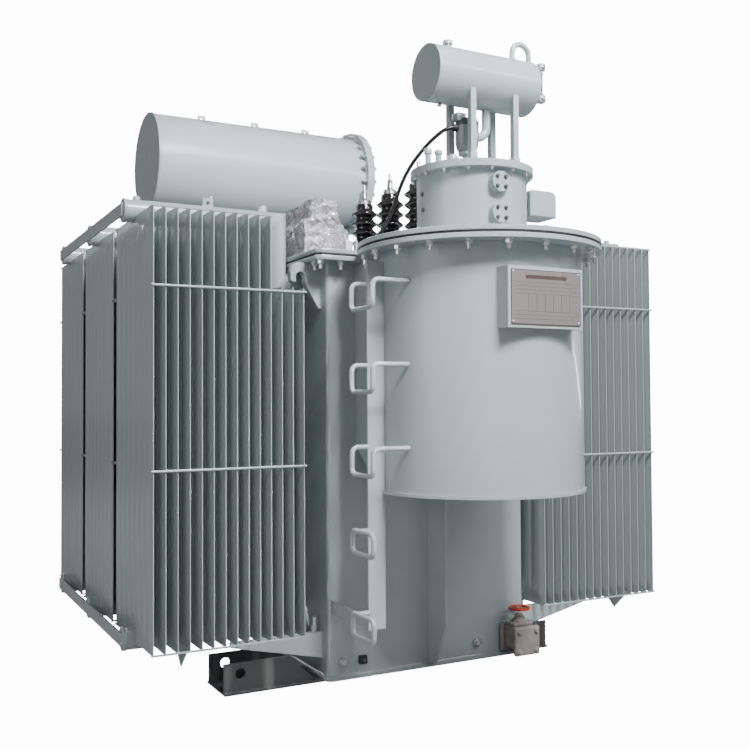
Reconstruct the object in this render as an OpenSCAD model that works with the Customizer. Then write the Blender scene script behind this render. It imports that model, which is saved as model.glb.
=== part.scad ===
// Oil-filled power transformer with an on-load tap changer in a round pocket at the front.
// Millimetres, +Z up, +Y to the rear, origin on the ground under the middle of the tank.

/* [Tank] */
// Width of the tank, across the radiator banks
tank_w = 940; // [800:10:1200]
// Length of the tank, front to rear
tank_l = 1750; // [1600:10:2200]
// Height of the tank wall, from the ground to the underside of its flange
tank_h = 1650; // [1600:10:1900]
// Radius of the tank's upright corners
tank_corner_r = 40; // [20:5:80]
// Thickness of the base plate
base_t = 16; // [10:1:30]
// How far the base plate stands out past the tank wall
base_overhang = 15; // [5:1:40]

/* [Tank cover] */
// How far the flange stands out past the tank wall
flange_overhang = 70; // [50:1:100]
// Thickness of the tank flange
flange_t = 18; // [12:1:30]
// Length of the chamfer on each flange corner
flange_chamfer = 60; // [20:5:100]
// Thickness of the gasket
gasket_t = 8; // [4:1:12]
// How far the gasket stays back from the flange edge
gasket_inset = 4; // [1:1:10]
// Thickness of the cover plate
cover_t = 18; // [12:1:30]

/* [Tap changer pocket] */
// Radius of the pocket wall
pocket_r = 390; // [350:5:430]
// Distance from the tank's front wall to the pocket's axis
pocket_gap = 370; // [340:5:400]
// Height of the pocket's underside above the ground
pocket_z = 758; // [600:10:900]
// Thickness of the pocket's bottom plate
pocket_bottom_t = 12; // [8:1:20]
// How far the bottom plate stands out past the pocket wall
pocket_lip = 10; // [5:1:20]
// How far the pocket's flange stands out past its wall
pocket_flange_overhang = 75; // [60:1:90]
// Width of the neck between pocket and tank
neck_w = 686; // [560:2:690]
// Rise of the neck's underside from the pocket to the tank wall
neck_rise = 147; // [60:1:250]
// Thickness of the upright rib under the pocket
rib_t = 10; // [6:1:20]
// How far the rib stands out from the tank wall
rib_depth = 125; // [80:5:200]
// Height at which the rib starts to taper
rib_taper_z = 196; // [120:1:300]
// How far the rib's foot stands out
rib_foot = 40; // [20:1:60]

/* [Base skids] */
// Reach of the skid ends past the tank wall, left side
skid_reach_left = 420; // [200:10:500]
// Reach of the skid ends past the tank wall, right side
skid_reach_right = 140; // [130:5:500]
// Width of a skid
skid_w = 183; // [120:1:240]
// Height of a skid
skid_h = 116; // [90:1:160]
// Thickness of a skid's plates
skid_t = 10; // [6:1:16]
// How far a skid's bottom plate stands out past its webs
skid_lip = 12; // [0:1:20]
// Distance from the tank's end wall to the skid
skid_inset = 20; // [15:5:100]
// Radius of the haulage holes
haul_hole_r = 20; // [12:1:25]
// Height of the haulage holes
haul_hole_z = 75; // [50:1:80]
// Distance from a skid's end to its haulage hole
haul_hole_inset = 66; // [40:1:80]

/* [Ladder] */
// Width of the ladder's flat stringer
stringer_w = 71; // [50:1:100]
// Thickness of the stringer
stringer_t = 10; // [6:1:16]
// Height of the stringer's lower end
stringer_z = 265; // [150:5:320]
// Distance from the underside of the flange to the stringer's upper end
stringer_top_gap = 35; // [10:1:80]
// Distance the stringer lies behind the pocket's axis
stringer_back = 50; // [20:1:90]
// Height of the foot bar that ties the stringer to the tank
stringer_foot_h = 50; // [30:1:80]
// Radius of the rung rod
rung_r = 9; // [6:0.5:12]
// Middle radius of the rung bends
rung_bend_r = 24; // [20:1:30]
// Distance the front of each rung lies before the pocket's axis
rung_front = 115; // [90:5:140]
// Distance of the treads from the stringer's outer edge
rung_reach = 62; // [50:1:90]
// Distance from the underside of the flange to the top of the highest rung
rung_top_drop = 125; // [90:5:200]
// Height of the top of the lowest rung
rung_low_z = 337; // [337:1:400]
// Drop from a leg to its tread on the upper rungs
rung_drop = 97; // [80:1:120]
// Height of the closed loops of the lower rungs
loop_h = 80; // [60:1:110]

/* [Fittings on the tank] */
// Reach of a lifting hook past the tank wall
hook_reach = 132; // [110:1:180]
// Height of a lifting hook at the tank wall
hook_h = 171; // [140:1:220]
// Thickness of a lifting hook
hook_t = 30; // [20:1:40]
// Distance from the tank's end wall to a lifting hook
hook_inset = 64; // [56:1:150]
// Width of the hook's nose
hook_nose_w = 24; // [16:1:30]
// Height of the hook's nose
hook_nose_h = 71; // [60:1:90]
// Radius of the hook's round notch
hook_notch_r = 17; // [12:1:22]
// Height of metal left over the notch
hook_crown = 33; // [24:1:40]
// Width of the nameplate box
plate_box_w = 322; // [240:2:400]
// Height of the nameplate box
plate_box_h = 212; // [150:2:300]
// Distance from the underside of the flange to the middle of the nameplate box
plate_box_drop = 198; // [160:2:300]
// How far the nameplate box stands out past the pocket
plate_box_out = 28; // [15:1:50]
// Margin around the nameplate on its box
plate_margin = 12; // [6:1:25]
// Thickness of the nameplate
plate_t = 3; // [2:0.5:5]
// Distance of the drain valve's axis from the tank's middle
valve_x = 405; // [250:5:405]
// Width of the drain valve's body
valve_w = 128; // [90:2:130]
// Depth of the drain valve's body, out from the tank wall
valve_d = 125; // [90:1:160]
// Height of the drain valve's body
valve_h = 134; // [100:1:150]
// Height of the drain valve's underside above the ground
valve_z = 18; // [17:1:40]
// Radius of the valve's bonnet
bonnet_r = 22; // [16:1:30]
// Height of the valve's bonnet
bonnet_h = 34; // [20:1:50]
// Radius of the valve's stem
stem_r = 7; // [5:0.5:9]
// Radial clearance of the stem in its bonnet
stem_clearance = 0.05; // [0.02:0.01:0.08]
// Depth to which the stem reaches into its bonnet
stem_depth = 24; // [12:1:30]
// Middle radius of the handwheel's rim
wheel_r = 42; // [34:1:60]
// Radius of the handwheel rim's section
wheel_rim_r = 6; // [4:0.5:8]
// Height of the handwheel above its bonnet
wheel_lift = 22; // [14:1:40]
// Height of the plugs and the earth pad on the front wall
plug_z = 70; // [50:1:120]
// Distance of the left plug from the tank's middle
plug_left_x = 407; // [380:1:410]
// Distance of the right plug from the tank's middle
plug_right_x = 227; // [100:1:300]
// Radius of the plugs
plug_r = 18; // [12:1:25]
// How far the plugs and the earth pad stand out
plug_out = 22; // [15:1:30]
// Distance of the earth pad from the tank's middle
earth_pad_x = 321; // [200:1:350]
// Side of the earth pad
earth_pad_w = 34; // [25:1:45]
// Reach of a radiator bracket past the tank wall
bracket_reach = 380; // [250:5:400]
// Thickness of a radiator bracket
bracket_t = 20; // [10:1:30]
// Height of the bracket's lower corner at the tank wall
bracket_low_z = 82; // [60:1:110]
// Gap between a radiator bracket and the fins over it
bracket_gap = 9; // [5:1:20]
// Height of the bracket's outer end
bracket_tip_h = 20; // [10:1:40]
// Distance from a skid's outer web to the bracket beside it
bracket_side_gap = 24; // [10:1:60]

/* [Tap changer head] */
// Radius of the head drum
drum_r = 213; // [180:1:240]
// Height of the head drum with its flange
drum_h = 274; // [200:2:300]
// How far the head's flange and cover stand out past the drum
drum_flange_out = 25; // [20:1:40]
// Thickness of the drum's flange
drum_flange_t = 10; // [6:1:16]
// Thickness of the head cover
head_cover_t = 17; // [10:1:25]
// Distance the head's axis lies behind the pocket's axis
head_back = 40; // [0:5:60]
// Radius of the blank flanges on the drum
blank_r = 38; // [30:1:45]
// Width of the drive box on the drum's right side
drive_w = 130; // [100:1:160]
// Height of the drive box
drive_h = 106; // [90:1:150]
// Depth of the drive box
drive_d = 120; // [90:1:150]

/* [Tap changer conservator] */
// Radius of the small conservator
small_r = 106; // [90:1:130]
// Length of the small conservator
small_l = 458; // [400:2:600]
// Height of its axis above the head cover
small_lift = 340; // [330:5:420]
// Distance of its axis before the head's axis
small_front = 60; // [50:5:80]
// Distance of its middle to the left of the head's axis
small_shift = 11; // [0:1:40]
// Side of the square posts
post_w = 24; // [20:1:36]
// Distance of the posts from their middle, along the conservator
post_x = 97; // [80:1:130]
// Distance of the posts' middle to the right of the head's axis
post_shift = 12; // [0:1:40]
// Distance of the posts from the conservator's axis
post_y = 76; // [50:1:84]
// Radius of the breather pipe
breather_r = 11; // [8:1:14]
// Middle radius of the breather pipe's arch
breather_bend_r = 40; // [30:1:60]
// Height of the level gauge's middle above the conservator's axis
gauge_lift = 4; // [0:1:20]
// Side of the level gauge's blocks
gauge_block = 30; // [20:1:36]
// Distance of the gauge's blocks above and below its middle
gauge_half = 62; // [50:1:70]
// Distance of the gauge before the conservator's axis
gauge_front = 80; // [60:1:90]

/* [Gas relay] */
// Distance of the gas relay to the left of the head's axis
relay_x = 55; // [40:1:70]
// Distance of the gas relay before the head's axis
relay_front = 55; // [45:1:65]
// Radius of the relay's body
relay_r = 46; // [36:1:52]
// Height of the relay's body
relay_h = 130; // [100:1:150]
// Height of the relay's pipe above the head cover
relay_pipe_h = 60; // [50:1:90]
// Radius of the relay's pipes
relay_pipe_r = 17; // [12:1:20]
// Middle radius of the bend from the relay to the conservator
relay_bend_r = 40; // [36:1:55]
// Radius of the cable
cable_r = 8; // [5:1:12]

/* [Main conservator] */
// Radius of the main conservator
main_r = 270; // [230:5:300]
// Length of the main conservator's barrel
main_l = 1240; // [1000:10:1400]
// Distance of the barrel's middle to the left of the tank's middle
main_shift = 85; // [0:5:200]
// Height of its axis above the cover plate
main_lift = 734; // [650:2:800]
// Distance of its axis behind the tank's rear wall
main_back = 75; // [20:5:150]
// Thickness of its end plate
main_end_t = 10; // [6:1:16]
// How far its bolted flange stands out past the barrel
main_flange_out = 36; // [25:1:50]
// Thickness of its bolted flange
main_flange_t = 20; // [14:1:30]
// Thickness of its bolted end cover
main_cover_t = 24; // [14:1:36]
// Thickness of the supports under the main conservator
support_t = 14; // [8:1:20]
// Distance between the two supports
support_span = 640; // [500:10:760]
// Radius of the oil pipe under the main conservator
oil_pipe_r = 30; // [20:1:40]
// Width of the lifting eyes
eye_w = 44; // [34:1:60]
// Thickness of the lifting eyes
eye_t = 12; // [8:1:16]
// Radius of the holes in the lifting eyes
eye_hole_r = 9; // [6:1:12]

/* [Bushings] */
// Distance of the high-voltage row from the tank's middle
hv_x = 200; // [120:5:300]
// Distance between high-voltage bushings
hv_pitch = 276; // [200:2:320]
// Distance of the middle bushing before the tank's middle
hv_front = 184; // [0:2:300]
// Height of a high-voltage bushing with its terminal
hv_h = 526; // [420:2:600]
// Radius of the bushing's sheds
shed_r = 67; // [50:1:70]
// Radius of the bushing's core
core_r = 36; // [25:1:44]
// Number of sheds
shed_count = 6; // [4:1:7]
// Radius of the bushing's clamping ring
hv_ring_r = 78; // [72:1:95]
// Height of the bushing's clamping ring
hv_ring_h = 46; // [30:1:60]
// Radius of the terminal stud
stud_r = 8; // [6:1:12]
// Length of the bare terminal stud
stud_l = 46; // [30:1:60]
// Width of the wrapped low-voltage row
lv_w = 180; // [120:2:200]
// Width of the row's upper part
lv_top_w = 118; // [80:2:118]
// Height of the row's shoulders
lv_shoulder_h = 137; // [100:1:150]
// Height at which the row's upper part starts
lv_neck_h = 173; // [155:1:175]
// Length of the wrapped low-voltage row
lv_l = 650; // [500:10:800]
// Height of the wrapped low-voltage row
lv_h = 252; // [180:2:300]
// Distance of the wrapped row's middle from the tank's middle
lv_x = 400; // [360:5:420]
// Distance of the wrapped row's front from the tank's front wall
lv_inset = 155; // [130:5:250]

/* [Radiators] */
// Distance from fin to fin
fin_pitch = 45; // [42:1:45]
// Thickness of a fin
fin_t = 9; // [6:0.5:14]
// How far the fins rise above the underside of the tank flange
fin_rise = 161; // [130:1:175]
// Height of a fin's lower end above the ground
fin_z = 194; // [170:1:210]
// Number of fins on each left radiator
fins_left = 14; // [10:1:14]
// Number of fins on each right radiator
fins_right = 15; // [10:1:15]
// Number of short fins beside the elbow
short_fins = 3; // [3:1:4]
// Gap between the radiators of one bank
radiator_gap = 62; // [30:2:100]
// How far a bank of radiators reaches past each end of the tank
bank_overhang = 42; // [0:2:60]
// Distance from the tank wall to the first fin, left bank
fin_gap_left = 116; // [100:1:140]
// Distance from the tank wall to the first fin, right bank
fin_gap_right = 94; // [90:1:140]
// Radius of the header pipes
header_r = 44.5; // [38:0.5:50]
// Height of the upper header's axis above the fins' upper ends
header_rise = 23; // [10:1:40]
// Height of the lower header's axis above the fins' lower ends
header_low = 11; // [5:1:30]
// How far the headers stand out past the outer fin
header_out = 47; // [30:1:60]
// Distance of the upper elbow's axis from the tank wall
elbow_x = 120; // [118:1:125]
// Middle radius of the elbow's bends
elbow_r = 58; // [50:1:58]
// Distance of the upper branch's axis below the tank flange
branch_drop = 65; // [64:1:80]
// Radius of the radiator valves
rad_valve_r = 62; // [50:1:62]
// Radius of the round brace bars
brace_r = 5; // [4:0.5:7]
// Height of the lower brace bars above the ground
brace_low_z = 851; // [700:1:950]
// Distance from the underside of the tank flange to the upper brace bars
brace_high_drop = 130; // [128:1:200]
// Drop of the pointed foot under a fin
foot_drop = 78; // [50:1:90]
// Width of the pointed foot under a fin
foot_w = 165; // [100:5:200]
// Distance from a fin's front edge to its foot
foot_inset = 35; // [20:1:60]
// Thickness of the foot
foot_t = 6; // [4:0.5:6]
// Width of the tie bars on the header ends
tie_w = 50; // [40:1:70]
// Thickness of the tie bars
tie_t = 8; // [5:1:12]
// Radius of the holes in the radiator lifting lugs
lug_hole_r = 8; // [6:1:10]

/* [Hidden] */
$fn = 64;
// Gap left where a piece is cut to lie against a round wall
seat = 0.2;
// Extra length of a cutting shape past what it cuts
eps = 1;
// Height of the metal cap on a high-voltage bushing
hv_cap_h = 60;
// Gap between a short fin and the branch pipe over it
short_fin_gap = 5;

tank_x = tank_w / 2;
tank_y = tank_l / 2;
gasket_z = tank_h + flange_t;
cover_z = gasket_z + gasket_t;
lid_z = cover_z + cover_t;
pocket_y = -tank_y - pocket_gap;
pocket_flange_r = pocket_r + pocket_flange_overhang;

skid_mid_y = tank_y - skid_inset - skid_w / 2;
skid_taper_root = 0.11;
skid_taper_top = 0.365;
stringer_y = pocket_y + stringer_back;
stringer_in = sqrt(pocket_r * pocket_r - stringer_back * stringer_back);
stringer_out = stringer_in + stringer_w;
rung_x = -stringer_out - rung_reach;
rung_front_y = pocket_y - rung_front;
rung_seat = sqrt(pocket_r * pocket_r - pow(rung_front - rung_r, 2)) + seat;
upper_rungs = 3;
rung_count = 5;
rung_top_z = tank_h - rung_top_drop;
rung_pitch = (rung_top_z - rung_low_z) / (rung_count - 1);

plate_box_y = pocket_y - pocket_r - plate_box_out;
plate_box_z = tank_h - plate_box_drop;
bracket_y = tank_y - skid_inset - skid_t - bracket_side_gap - bracket_t / 2;
bracket_top_z = fin_z - bracket_gap;
valve_mid_y = -tank_y - valve_d / 2;
bonnet_z = valve_z + valve_h;
stem_base_z = bonnet_z + bonnet_h - stem_depth;
wheel_z = bonnet_z + bonnet_h + wheel_lift;

head_y = pocket_y + head_back;
drum_top_z = lid_z + drum_h;
head_top_z = drum_top_z + head_cover_t;
small_y = head_y - small_front;
small_left = -small_shift - small_l / 2;
small_right = -small_shift + small_l / 2;
small_z = head_top_z + small_lift;
gauge_z = small_z + gauge_lift;
relay_y = head_y - relay_front;
relay_z = head_top_z + relay_pipe_h;
relay_axis_z = relay_z + relay_h / 2;

main_y = tank_y + main_back;
main_z = lid_z + main_lift;
main_left = -main_shift - main_l / 2;
main_right = -main_shift + main_l / 2;
main_flange_r = main_r + main_flange_out;

lv_y = -tank_y + lv_inset;
bank_count = 3;
fin_w = (tank_l + 2 * bank_overhang - (bank_count - 1) * radiator_gap) / bank_count;
radiator_pitch = fin_w + radiator_gap;
fin_top_z = tank_h + fin_rise;
header_top_z = fin_top_z + header_rise;
header_low_z = fin_z + header_low;
branch_z = tank_h - branch_drop;
valve_face = elbow_x - elbow_r;
short_fin_top = branch_z - header_r - short_fin_gap;
brace_high_z = tank_h - brace_high_drop;
rows = [-1, 0, 1];

paint = [0.69, 0.73, 0.72];
rad_paint = [0.50, 0.56, 0.55];
steel = [0.78, 0.78, 0.76];
black = [0.08, 0.08, 0.08];
porcelain = [0.20, 0.10, 0.07];

// Repeated shapes

// Cylinder along X from x0 to x1
module along_x(x0, x1, r) {
    translate([x0, 0, 0]) rotate([0, 90, 0]) cylinder(h = x1 - x0, r = r);
}

// Cylinder along Y from y0 to y1
module along_y(y0, y1, r) {
    translate([0, y0, 0]) rotate([-90, 0, 0]) cylinder(h = y1 - y0, r = r);
}

// Quarter bend of a round bar or pipe in the XZ plane; its legs leave the corner along sx and sz
module xz_bend(corner, sx, sz, bend_r, r) {
    translate(corner + [sx * bend_r, 0, sz * bend_r])
        rotate([sz < 0 ? 90 : 270, 0, sx < 0 ? 0 : 180])
            rotate_extrude(angle = 90) translate([bend_r, 0]) circle(r = r);
}

// Quarter bend in the YZ plane; its legs leave the corner along sy and sz
module yz_bend(corner, sy, sz, bend_r, r) {
    translate(corner + [0, sy * bend_r, sz * bend_r])
        rotate([sz < 0 ? 90 : 270, 0, sy < 0 ? 90 : -90])
            rotate_extrude(angle = 90) translate([bend_r, 0]) circle(r = r);
}

// Tank outline with rounded corners
module tank_outline(grow = 0) {
    square([tank_w + 2 * grow - 2 * tank_corner_r, tank_l + 2 * grow], center = true);
    square([tank_w + 2 * grow, tank_l + 2 * grow - 2 * tank_corner_r], center = true);
    for (sx = [-1, 1], sy = [-1, 1])
        translate([sx * (tank_x + grow - tank_corner_r), sy * (tank_y + grow - tank_corner_r)])
            circle(r = tank_corner_r);
}

// Keyhole outline shared by flange, gasket and cover: the tank's rim and the pocket's rim in one
module rim_outline(inset = 0) {
    x = tank_x + flange_overhang - inset;
    y = tank_y + flange_overhang - inset;
    polygon([
        [-x + flange_chamfer, -y], [x - flange_chamfer, -y], [x, -y + flange_chamfer],
        [x, y - flange_chamfer], [x - flange_chamfer, y], [-x + flange_chamfer, y],
        [-x, y - flange_chamfer], [-x, -y + flange_chamfer]
    ]);
    translate([0, pocket_y]) circle(r = pocket_flange_r - inset);
}

// Tank

module base_plate() {
    color(paint) linear_extrude(base_t) tank_outline(base_overhang);
}

// Channel that is open at the top; its webs are cut to a slope at the tank
module skid(reach) {
    end = tank_x + reach;
    difference() {
        union() {
            translate([tank_x, -skid_w / 2, 0]) cube([reach, skid_w, skid_h]);
            translate([tank_x, -skid_w / 2 - skid_lip, 0]) cube([reach, skid_w + 2 * skid_lip, skid_t]);
        }
        translate([tank_x - eps, -skid_w / 2 + skid_t, skid_t])
            cube([reach + 2 * eps, skid_w - 2 * skid_t, skid_h]);
        translate([tank_x, skid_w, 0]) rotate([90, 0, 0]) linear_extrude(2 * skid_w)
            polygon([
                [-eps, skid_t], [reach * skid_taper_root, skid_t], [reach * skid_taper_top, skid_h + eps],
                [-eps, skid_h + eps]
            ]);
        translate([end - haul_hole_inset, 0, haul_hole_z])
            along_y(-skid_w, skid_w, haul_hole_r);
        translate([0, -skid_w, -eps])
            cube([tank_x + base_overhang, 2 * skid_w, base_t + eps]);
    }
}

module base_skids() {
    color(black) for (sy = [-1, 1]) translate([0, sy * skid_mid_y, 0]) {
        skid(skid_reach_right);
        mirror([1, 0, 0]) skid(skid_reach_left);
    }
}

module tank() {
    color(paint) translate([0, 0, base_t]) linear_extrude(tank_h - base_t) tank_outline();
}

module tank_flange() {
    color(paint) translate([0, 0, tank_h]) linear_extrude(flange_t) rim_outline();
}

module cover_gasket() {
    color(black) translate([0, 0, gasket_z]) linear_extrude(gasket_t) rim_outline(gasket_inset);
}

module cover_plate() {
    color(paint) translate([0, 0, cover_z]) linear_extrude(cover_t) rim_outline();
}

// Pocket for the tap changer

module neck() {
    bottom = pocket_z + pocket_bottom_t;
    neck_start = pocket_y + sqrt(pocket_r * pocket_r - neck_w * neck_w / 4);
    translate([-neck_w / 2, 0, 0]) rotate([90, 0, 90]) linear_extrude(neck_w)
        polygon([
            [pocket_y, bottom], [neck_start, bottom], [-tank_y, bottom + neck_rise],
            [-tank_y, tank_h], [pocket_y, tank_h]
        ]);
}

module tap_changer_pocket() {
    bottom = pocket_z + pocket_bottom_t;
    color(paint) {
        translate([0, pocket_y, bottom]) intersection() {
            cylinder(h = tank_h - bottom, r = pocket_r, $fn = 128);
            translate([-pocket_r, -pocket_r, 0])
                cube([2 * pocket_r, pocket_r + pocket_gap, tank_h - bottom]);
        }
        neck();
    }
}

module pocket_bottom() {
    color(paint) translate([0, pocket_y, pocket_z]) intersection() {
        cylinder(h = pocket_bottom_t, r = pocket_r + pocket_lip, $fn = 128);
        translate([-2 * pocket_r, -2 * pocket_r, 0])
            cube([4 * pocket_r, 2 * pocket_r + pocket_gap, pocket_bottom_t]);
    }
}

module pocket_rib() {
    color(paint) translate([-rib_t / 2, 0, 0]) rotate([90, 0, 90]) linear_extrude(rib_t)
        polygon([
            [-tank_y, base_t], [-tank_y - rib_foot, base_t], [-tank_y - rib_depth, rib_taper_z],
            [-tank_y - rib_depth, pocket_z], [-tank_y, pocket_z]
        ]);
}

// Ladder beside the pocket

module ladder_stringer() {
    top = tank_h - stringer_top_gap;
    color(paint) {
        difference() {
            translate([-stringer_out, stringer_y - stringer_t / 2, stringer_z])
                cube([2 * stringer_w, stringer_t, top - stringer_z]);
            translate([0, pocket_y, pocket_z + pocket_bottom_t])
                cylinder(h = tank_h, r = pocket_r + seat, $fn = 128);
            translate([0, pocket_y, pocket_z - seat])
                cylinder(h = pocket_bottom_t + 2 * seat, r = pocket_r + pocket_lip + seat, $fn = 128);
            translate([-stringer_in, stringer_y - stringer_t, stringer_z - eps])
                cube([2 * stringer_w, 2 * stringer_t, pocket_z - stringer_z]);
        }
        translate([-stringer_out, stringer_y + stringer_t / 2, stringer_z])
            cube([stringer_t, -tank_y - stringer_y - stringer_t / 2, stringer_foot_h]);
    }
}

// Step that hangs from two legs: the front leg runs to the pocket, the rear leg to the stringer
module hanging_rung(z) {
    low = z - rung_drop;
    b = rung_bend_r;
    translate([0, rung_front_y, z]) along_x(rung_x + b, -rung_seat, rung_r);
    translate([0, stringer_y, z]) along_x(rung_x + b, -stringer_out, rung_r);
    for (y = [rung_front_y, stringer_y]) {
        xz_bend([rung_x, y, z], 1, -1, b, rung_r);
        translate([rung_x, y, low + b]) cylinder(h = rung_drop - 2 * b, r = rung_r);
    }
    yz_bend([rung_x, rung_front_y, low], 1, 1, b, rung_r);
    yz_bend([rung_x, stringer_y, low], -1, 1, b, rung_r);
    translate([rung_x, 0, low]) along_y(rung_front_y + b, stringer_y - b, rung_r);
}

// Closed loop carried by one leg on the stringer
module looped_rung(z) {
    low = z - loop_h;
    b = rung_bend_r;
    bend_in = b * (1 - cos(45));
    for (end = [[z, -1], [low, 1]]) {
        yz_bend([rung_x, rung_front_y, end[0]], 1, end[1], b, rung_r);
        yz_bend([rung_x, stringer_y, end[0]], -1, end[1], b, rung_r);
        translate([rung_x, 0, end[0]]) along_y(rung_front_y + b, stringer_y - b, rung_r);
    }
    for (y = [rung_front_y, stringer_y])
        translate([rung_x, y, low + b]) cylinder(h = loop_h - 2 * b, r = rung_r);
    translate([0, stringer_y - bend_in, z - bend_in]) along_x(rung_x, -stringer_out, rung_r);
}

module ladder_rungs() {
    color(paint) for (i = [0 : rung_count - 1]) {
        z = rung_top_z - i * rung_pitch;
        if (i < upper_rungs) hanging_rung(z);
        else looped_rung(z);
    }
}

// Fittings on the tank

// Hook plate whose notch opens downwards behind its nose, drawn down from the flange
module hook_outline() {
    nose = hook_reach - hook_nose_w;
    notch_z = -hook_crown - hook_notch_r;
    difference() {
        polygon([
            [0, 0], [hook_reach - hook_crown, 0], [hook_reach, -hook_crown],
            [hook_reach, -hook_nose_h], [nose - 2 * hook_notch_r, -hook_nose_h], [0, -hook_h]
        ]);
        translate([nose - hook_notch_r, notch_z]) circle(r = hook_notch_r);
        translate([nose - 2 * hook_notch_r, notch_z - hook_h])
            square([2 * hook_notch_r, hook_h]);
    }
}

module lifting_hooks() {
    color(paint) for (sx = [0, 1], sy = [-1, 1]) mirror([sx, 0, 0])
        translate([tank_x, sy * (tank_y - hook_inset) + hook_t / 2, tank_h])
            rotate([90, 0, 0]) linear_extrude(hook_t) hook_outline();
}

module nameplate_box() {
    color(paint) difference() {
        translate([-plate_box_w / 2, plate_box_y, plate_box_z - plate_box_h / 2])
            cube([plate_box_w, plate_box_out + pocket_r, plate_box_h]);
        translate([0, pocket_y, plate_box_z - plate_box_h])
            cylinder(h = 2 * plate_box_h, r = pocket_r + seat, $fn = 128);
        translate([-plate_box_w, pocket_y - pocket_r / 2, plate_box_z - plate_box_h])
            cube([2 * plate_box_w, 2 * pocket_r, 2 * plate_box_h]);
    }
}

module nameplate() {
    w = plate_box_w - 2 * plate_margin;
    h = plate_box_h - 2 * plate_margin;
    color(steel) translate([-w / 2, plate_box_y - plate_t, plate_box_z - h / 2]) cube([w, plate_t, h]);
}

module drain_valve_body() {
    color([0.55, 0.53, 0.51])
        translate([valve_x - valve_w / 2, -tank_y - valve_d, valve_z]) cube([valve_w, valve_d, valve_h]);
}

module drain_valve_bonnet() {
    color([0.55, 0.53, 0.51]) translate([valve_x, valve_mid_y, bonnet_z]) difference() {
        cylinder(h = bonnet_h, r = bonnet_r);
        translate([0, 0, bonnet_h - stem_depth])
            cylinder(h = stem_depth + eps, r = stem_r + stem_clearance);
    }
}

module drain_handwheel() {
    hub_r = 2 * stem_r;
    color("red") translate([valve_x, valve_mid_y, 0]) {
        translate([0, 0, stem_base_z]) cylinder(h = wheel_z - stem_base_z, r = stem_r);
        translate([0, 0, wheel_z - wheel_rim_r]) cylinder(h = 2 * wheel_rim_r, r = hub_r);
        translate([0, 0, wheel_z]) {
            rotate_extrude() translate([wheel_r, 0]) circle(r = wheel_rim_r);
            for (a = [0 : 90 : 270]) rotate([0, 0, a]) along_x(stem_r, wheel_r, wheel_rim_r / 2);
        }
    }
}

module front_plugs() {
    color(steel) for (x = [-plug_left_x, plug_right_x])
        translate([x, 0, plug_z]) along_y(-tank_y - plug_out, -tank_y, plug_r);
    color(black) translate([-earth_pad_x - earth_pad_w / 2, -tank_y - plug_out, plug_z - earth_pad_w / 2])
        cube([earth_pad_w, plug_out, earth_pad_w]);
}

// Brackets on the tank under the inner fins of the end radiators
module radiator_brackets() {
    color(paint) for (sx = [0, 1], sy = [-1, 1]) mirror([sx, 0, 0])
        translate([tank_x, sy * bracket_y + bracket_t / 2, 0]) rotate([90, 0, 0]) linear_extrude(bracket_t)
            polygon([
                [0, bracket_low_z], [bracket_reach, bracket_top_z - bracket_tip_h],
                [bracket_reach, bracket_top_z], [0, bracket_top_z]
            ]);
}

// Tap changer head on the cover

module head_drum() {
    color(paint) translate([0, head_y, lid_z]) {
        cylinder(h = drum_h, r = drum_r, $fn = 128);
        translate([0, 0, drum_h - drum_flange_t])
            cylinder(h = drum_flange_t, r = drum_r + drum_flange_out, $fn = 128);
    }
}

module head_cover() {
    color(paint) translate([0, head_y, drum_top_z])
        cylinder(h = head_cover_t, r = drum_r + drum_flange_out, $fn = 128);
}

module head_blank_flanges() {
    out = 22;
    spread = 115;
    lift = 14;
    left = 24;
    color(paint) for (s = [-1, 1])
        translate([-left, head_y, lid_z + drum_h / 2 + s * spread / 2 + lift]) difference() {
            along_y(-drum_r - out, -drum_r / 2, blank_r);
            translate([left, 0, -2 * blank_r]) cylinder(h = 4 * blank_r, r = drum_r + seat, $fn = 128);
        }
}

module head_drive_box() {
    stub_r = 42;
    stub_l = 26;
    lift = 49;
    z = lid_z + drum_h / 2 + lift;
    x = drum_r + stub_l;
    color(paint) translate([0, head_y, z]) {
        translate([x, -drive_d / 2, -drive_h / 2]) cube([drive_w, drive_d, drive_h]);
        difference() {
            along_x(drum_r / 2, x, stub_r);
            translate([0, 0, -2 * stub_r]) cylinder(h = 4 * stub_r, r = drum_r + seat, $fn = 128);
        }
    }
}

// Small conservator over the head

module small_conservator() {
    cap_r = 19;
    cap_neck_r = 14;
    cap_t = 14;
    cap_h = 28;
    cap_inset = 98;
    color(paint) translate([0, small_y, small_z]) {
        along_x(small_left, small_right, small_r, $fn = 96);
        translate([small_left + cap_inset, 0, 0]) {
            cylinder(h = small_r + cap_h, r = cap_neck_r);
            translate([0, 0, small_r + cap_h - cap_t]) cylinder(h = cap_t, r = cap_r);
        }
    }
}

module small_conservator_posts() {
    color(paint) difference() {
        for (x = [-post_x, post_x], y = [-post_y, post_y])
            translate([post_shift + x - post_w / 2, small_y + y - post_w / 2, head_top_z])
                cube([post_w, post_w, small_lift]);
        translate([0, small_y, small_z]) along_x(-small_l, small_l, small_r + seat, $fn = 96);
    }
}

// Pipe that arches from the barrel's top to the gauge's upper block
module breather_pipe() {
    inset = 18;
    leg = 31;
    x1 = small_right + inset;
    x0 = x1 - 2 * breather_bend_r;
    z = small_z + small_r + leg;
    block_top = gauge_z + gauge_half + gauge_block / 2;
    color(steel) translate([0, small_y, 0]) {
        xz_bend([x0, 0, z + breather_bend_r], 1, -1, breather_bend_r, breather_r);
        xz_bend([x1, 0, z + breather_bend_r], -1, -1, breather_bend_r, breather_r);
        translate([x1, 0, block_top]) cylinder(h = z - block_top, r = breather_r);
        difference() {
            translate([x0, 0, small_z]) cylinder(h = z - small_z, r = breather_r);
            translate([0, 0, small_z]) along_x(-small_l, small_l, small_r + seat, $fn = 96);
        }
    }
}

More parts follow.
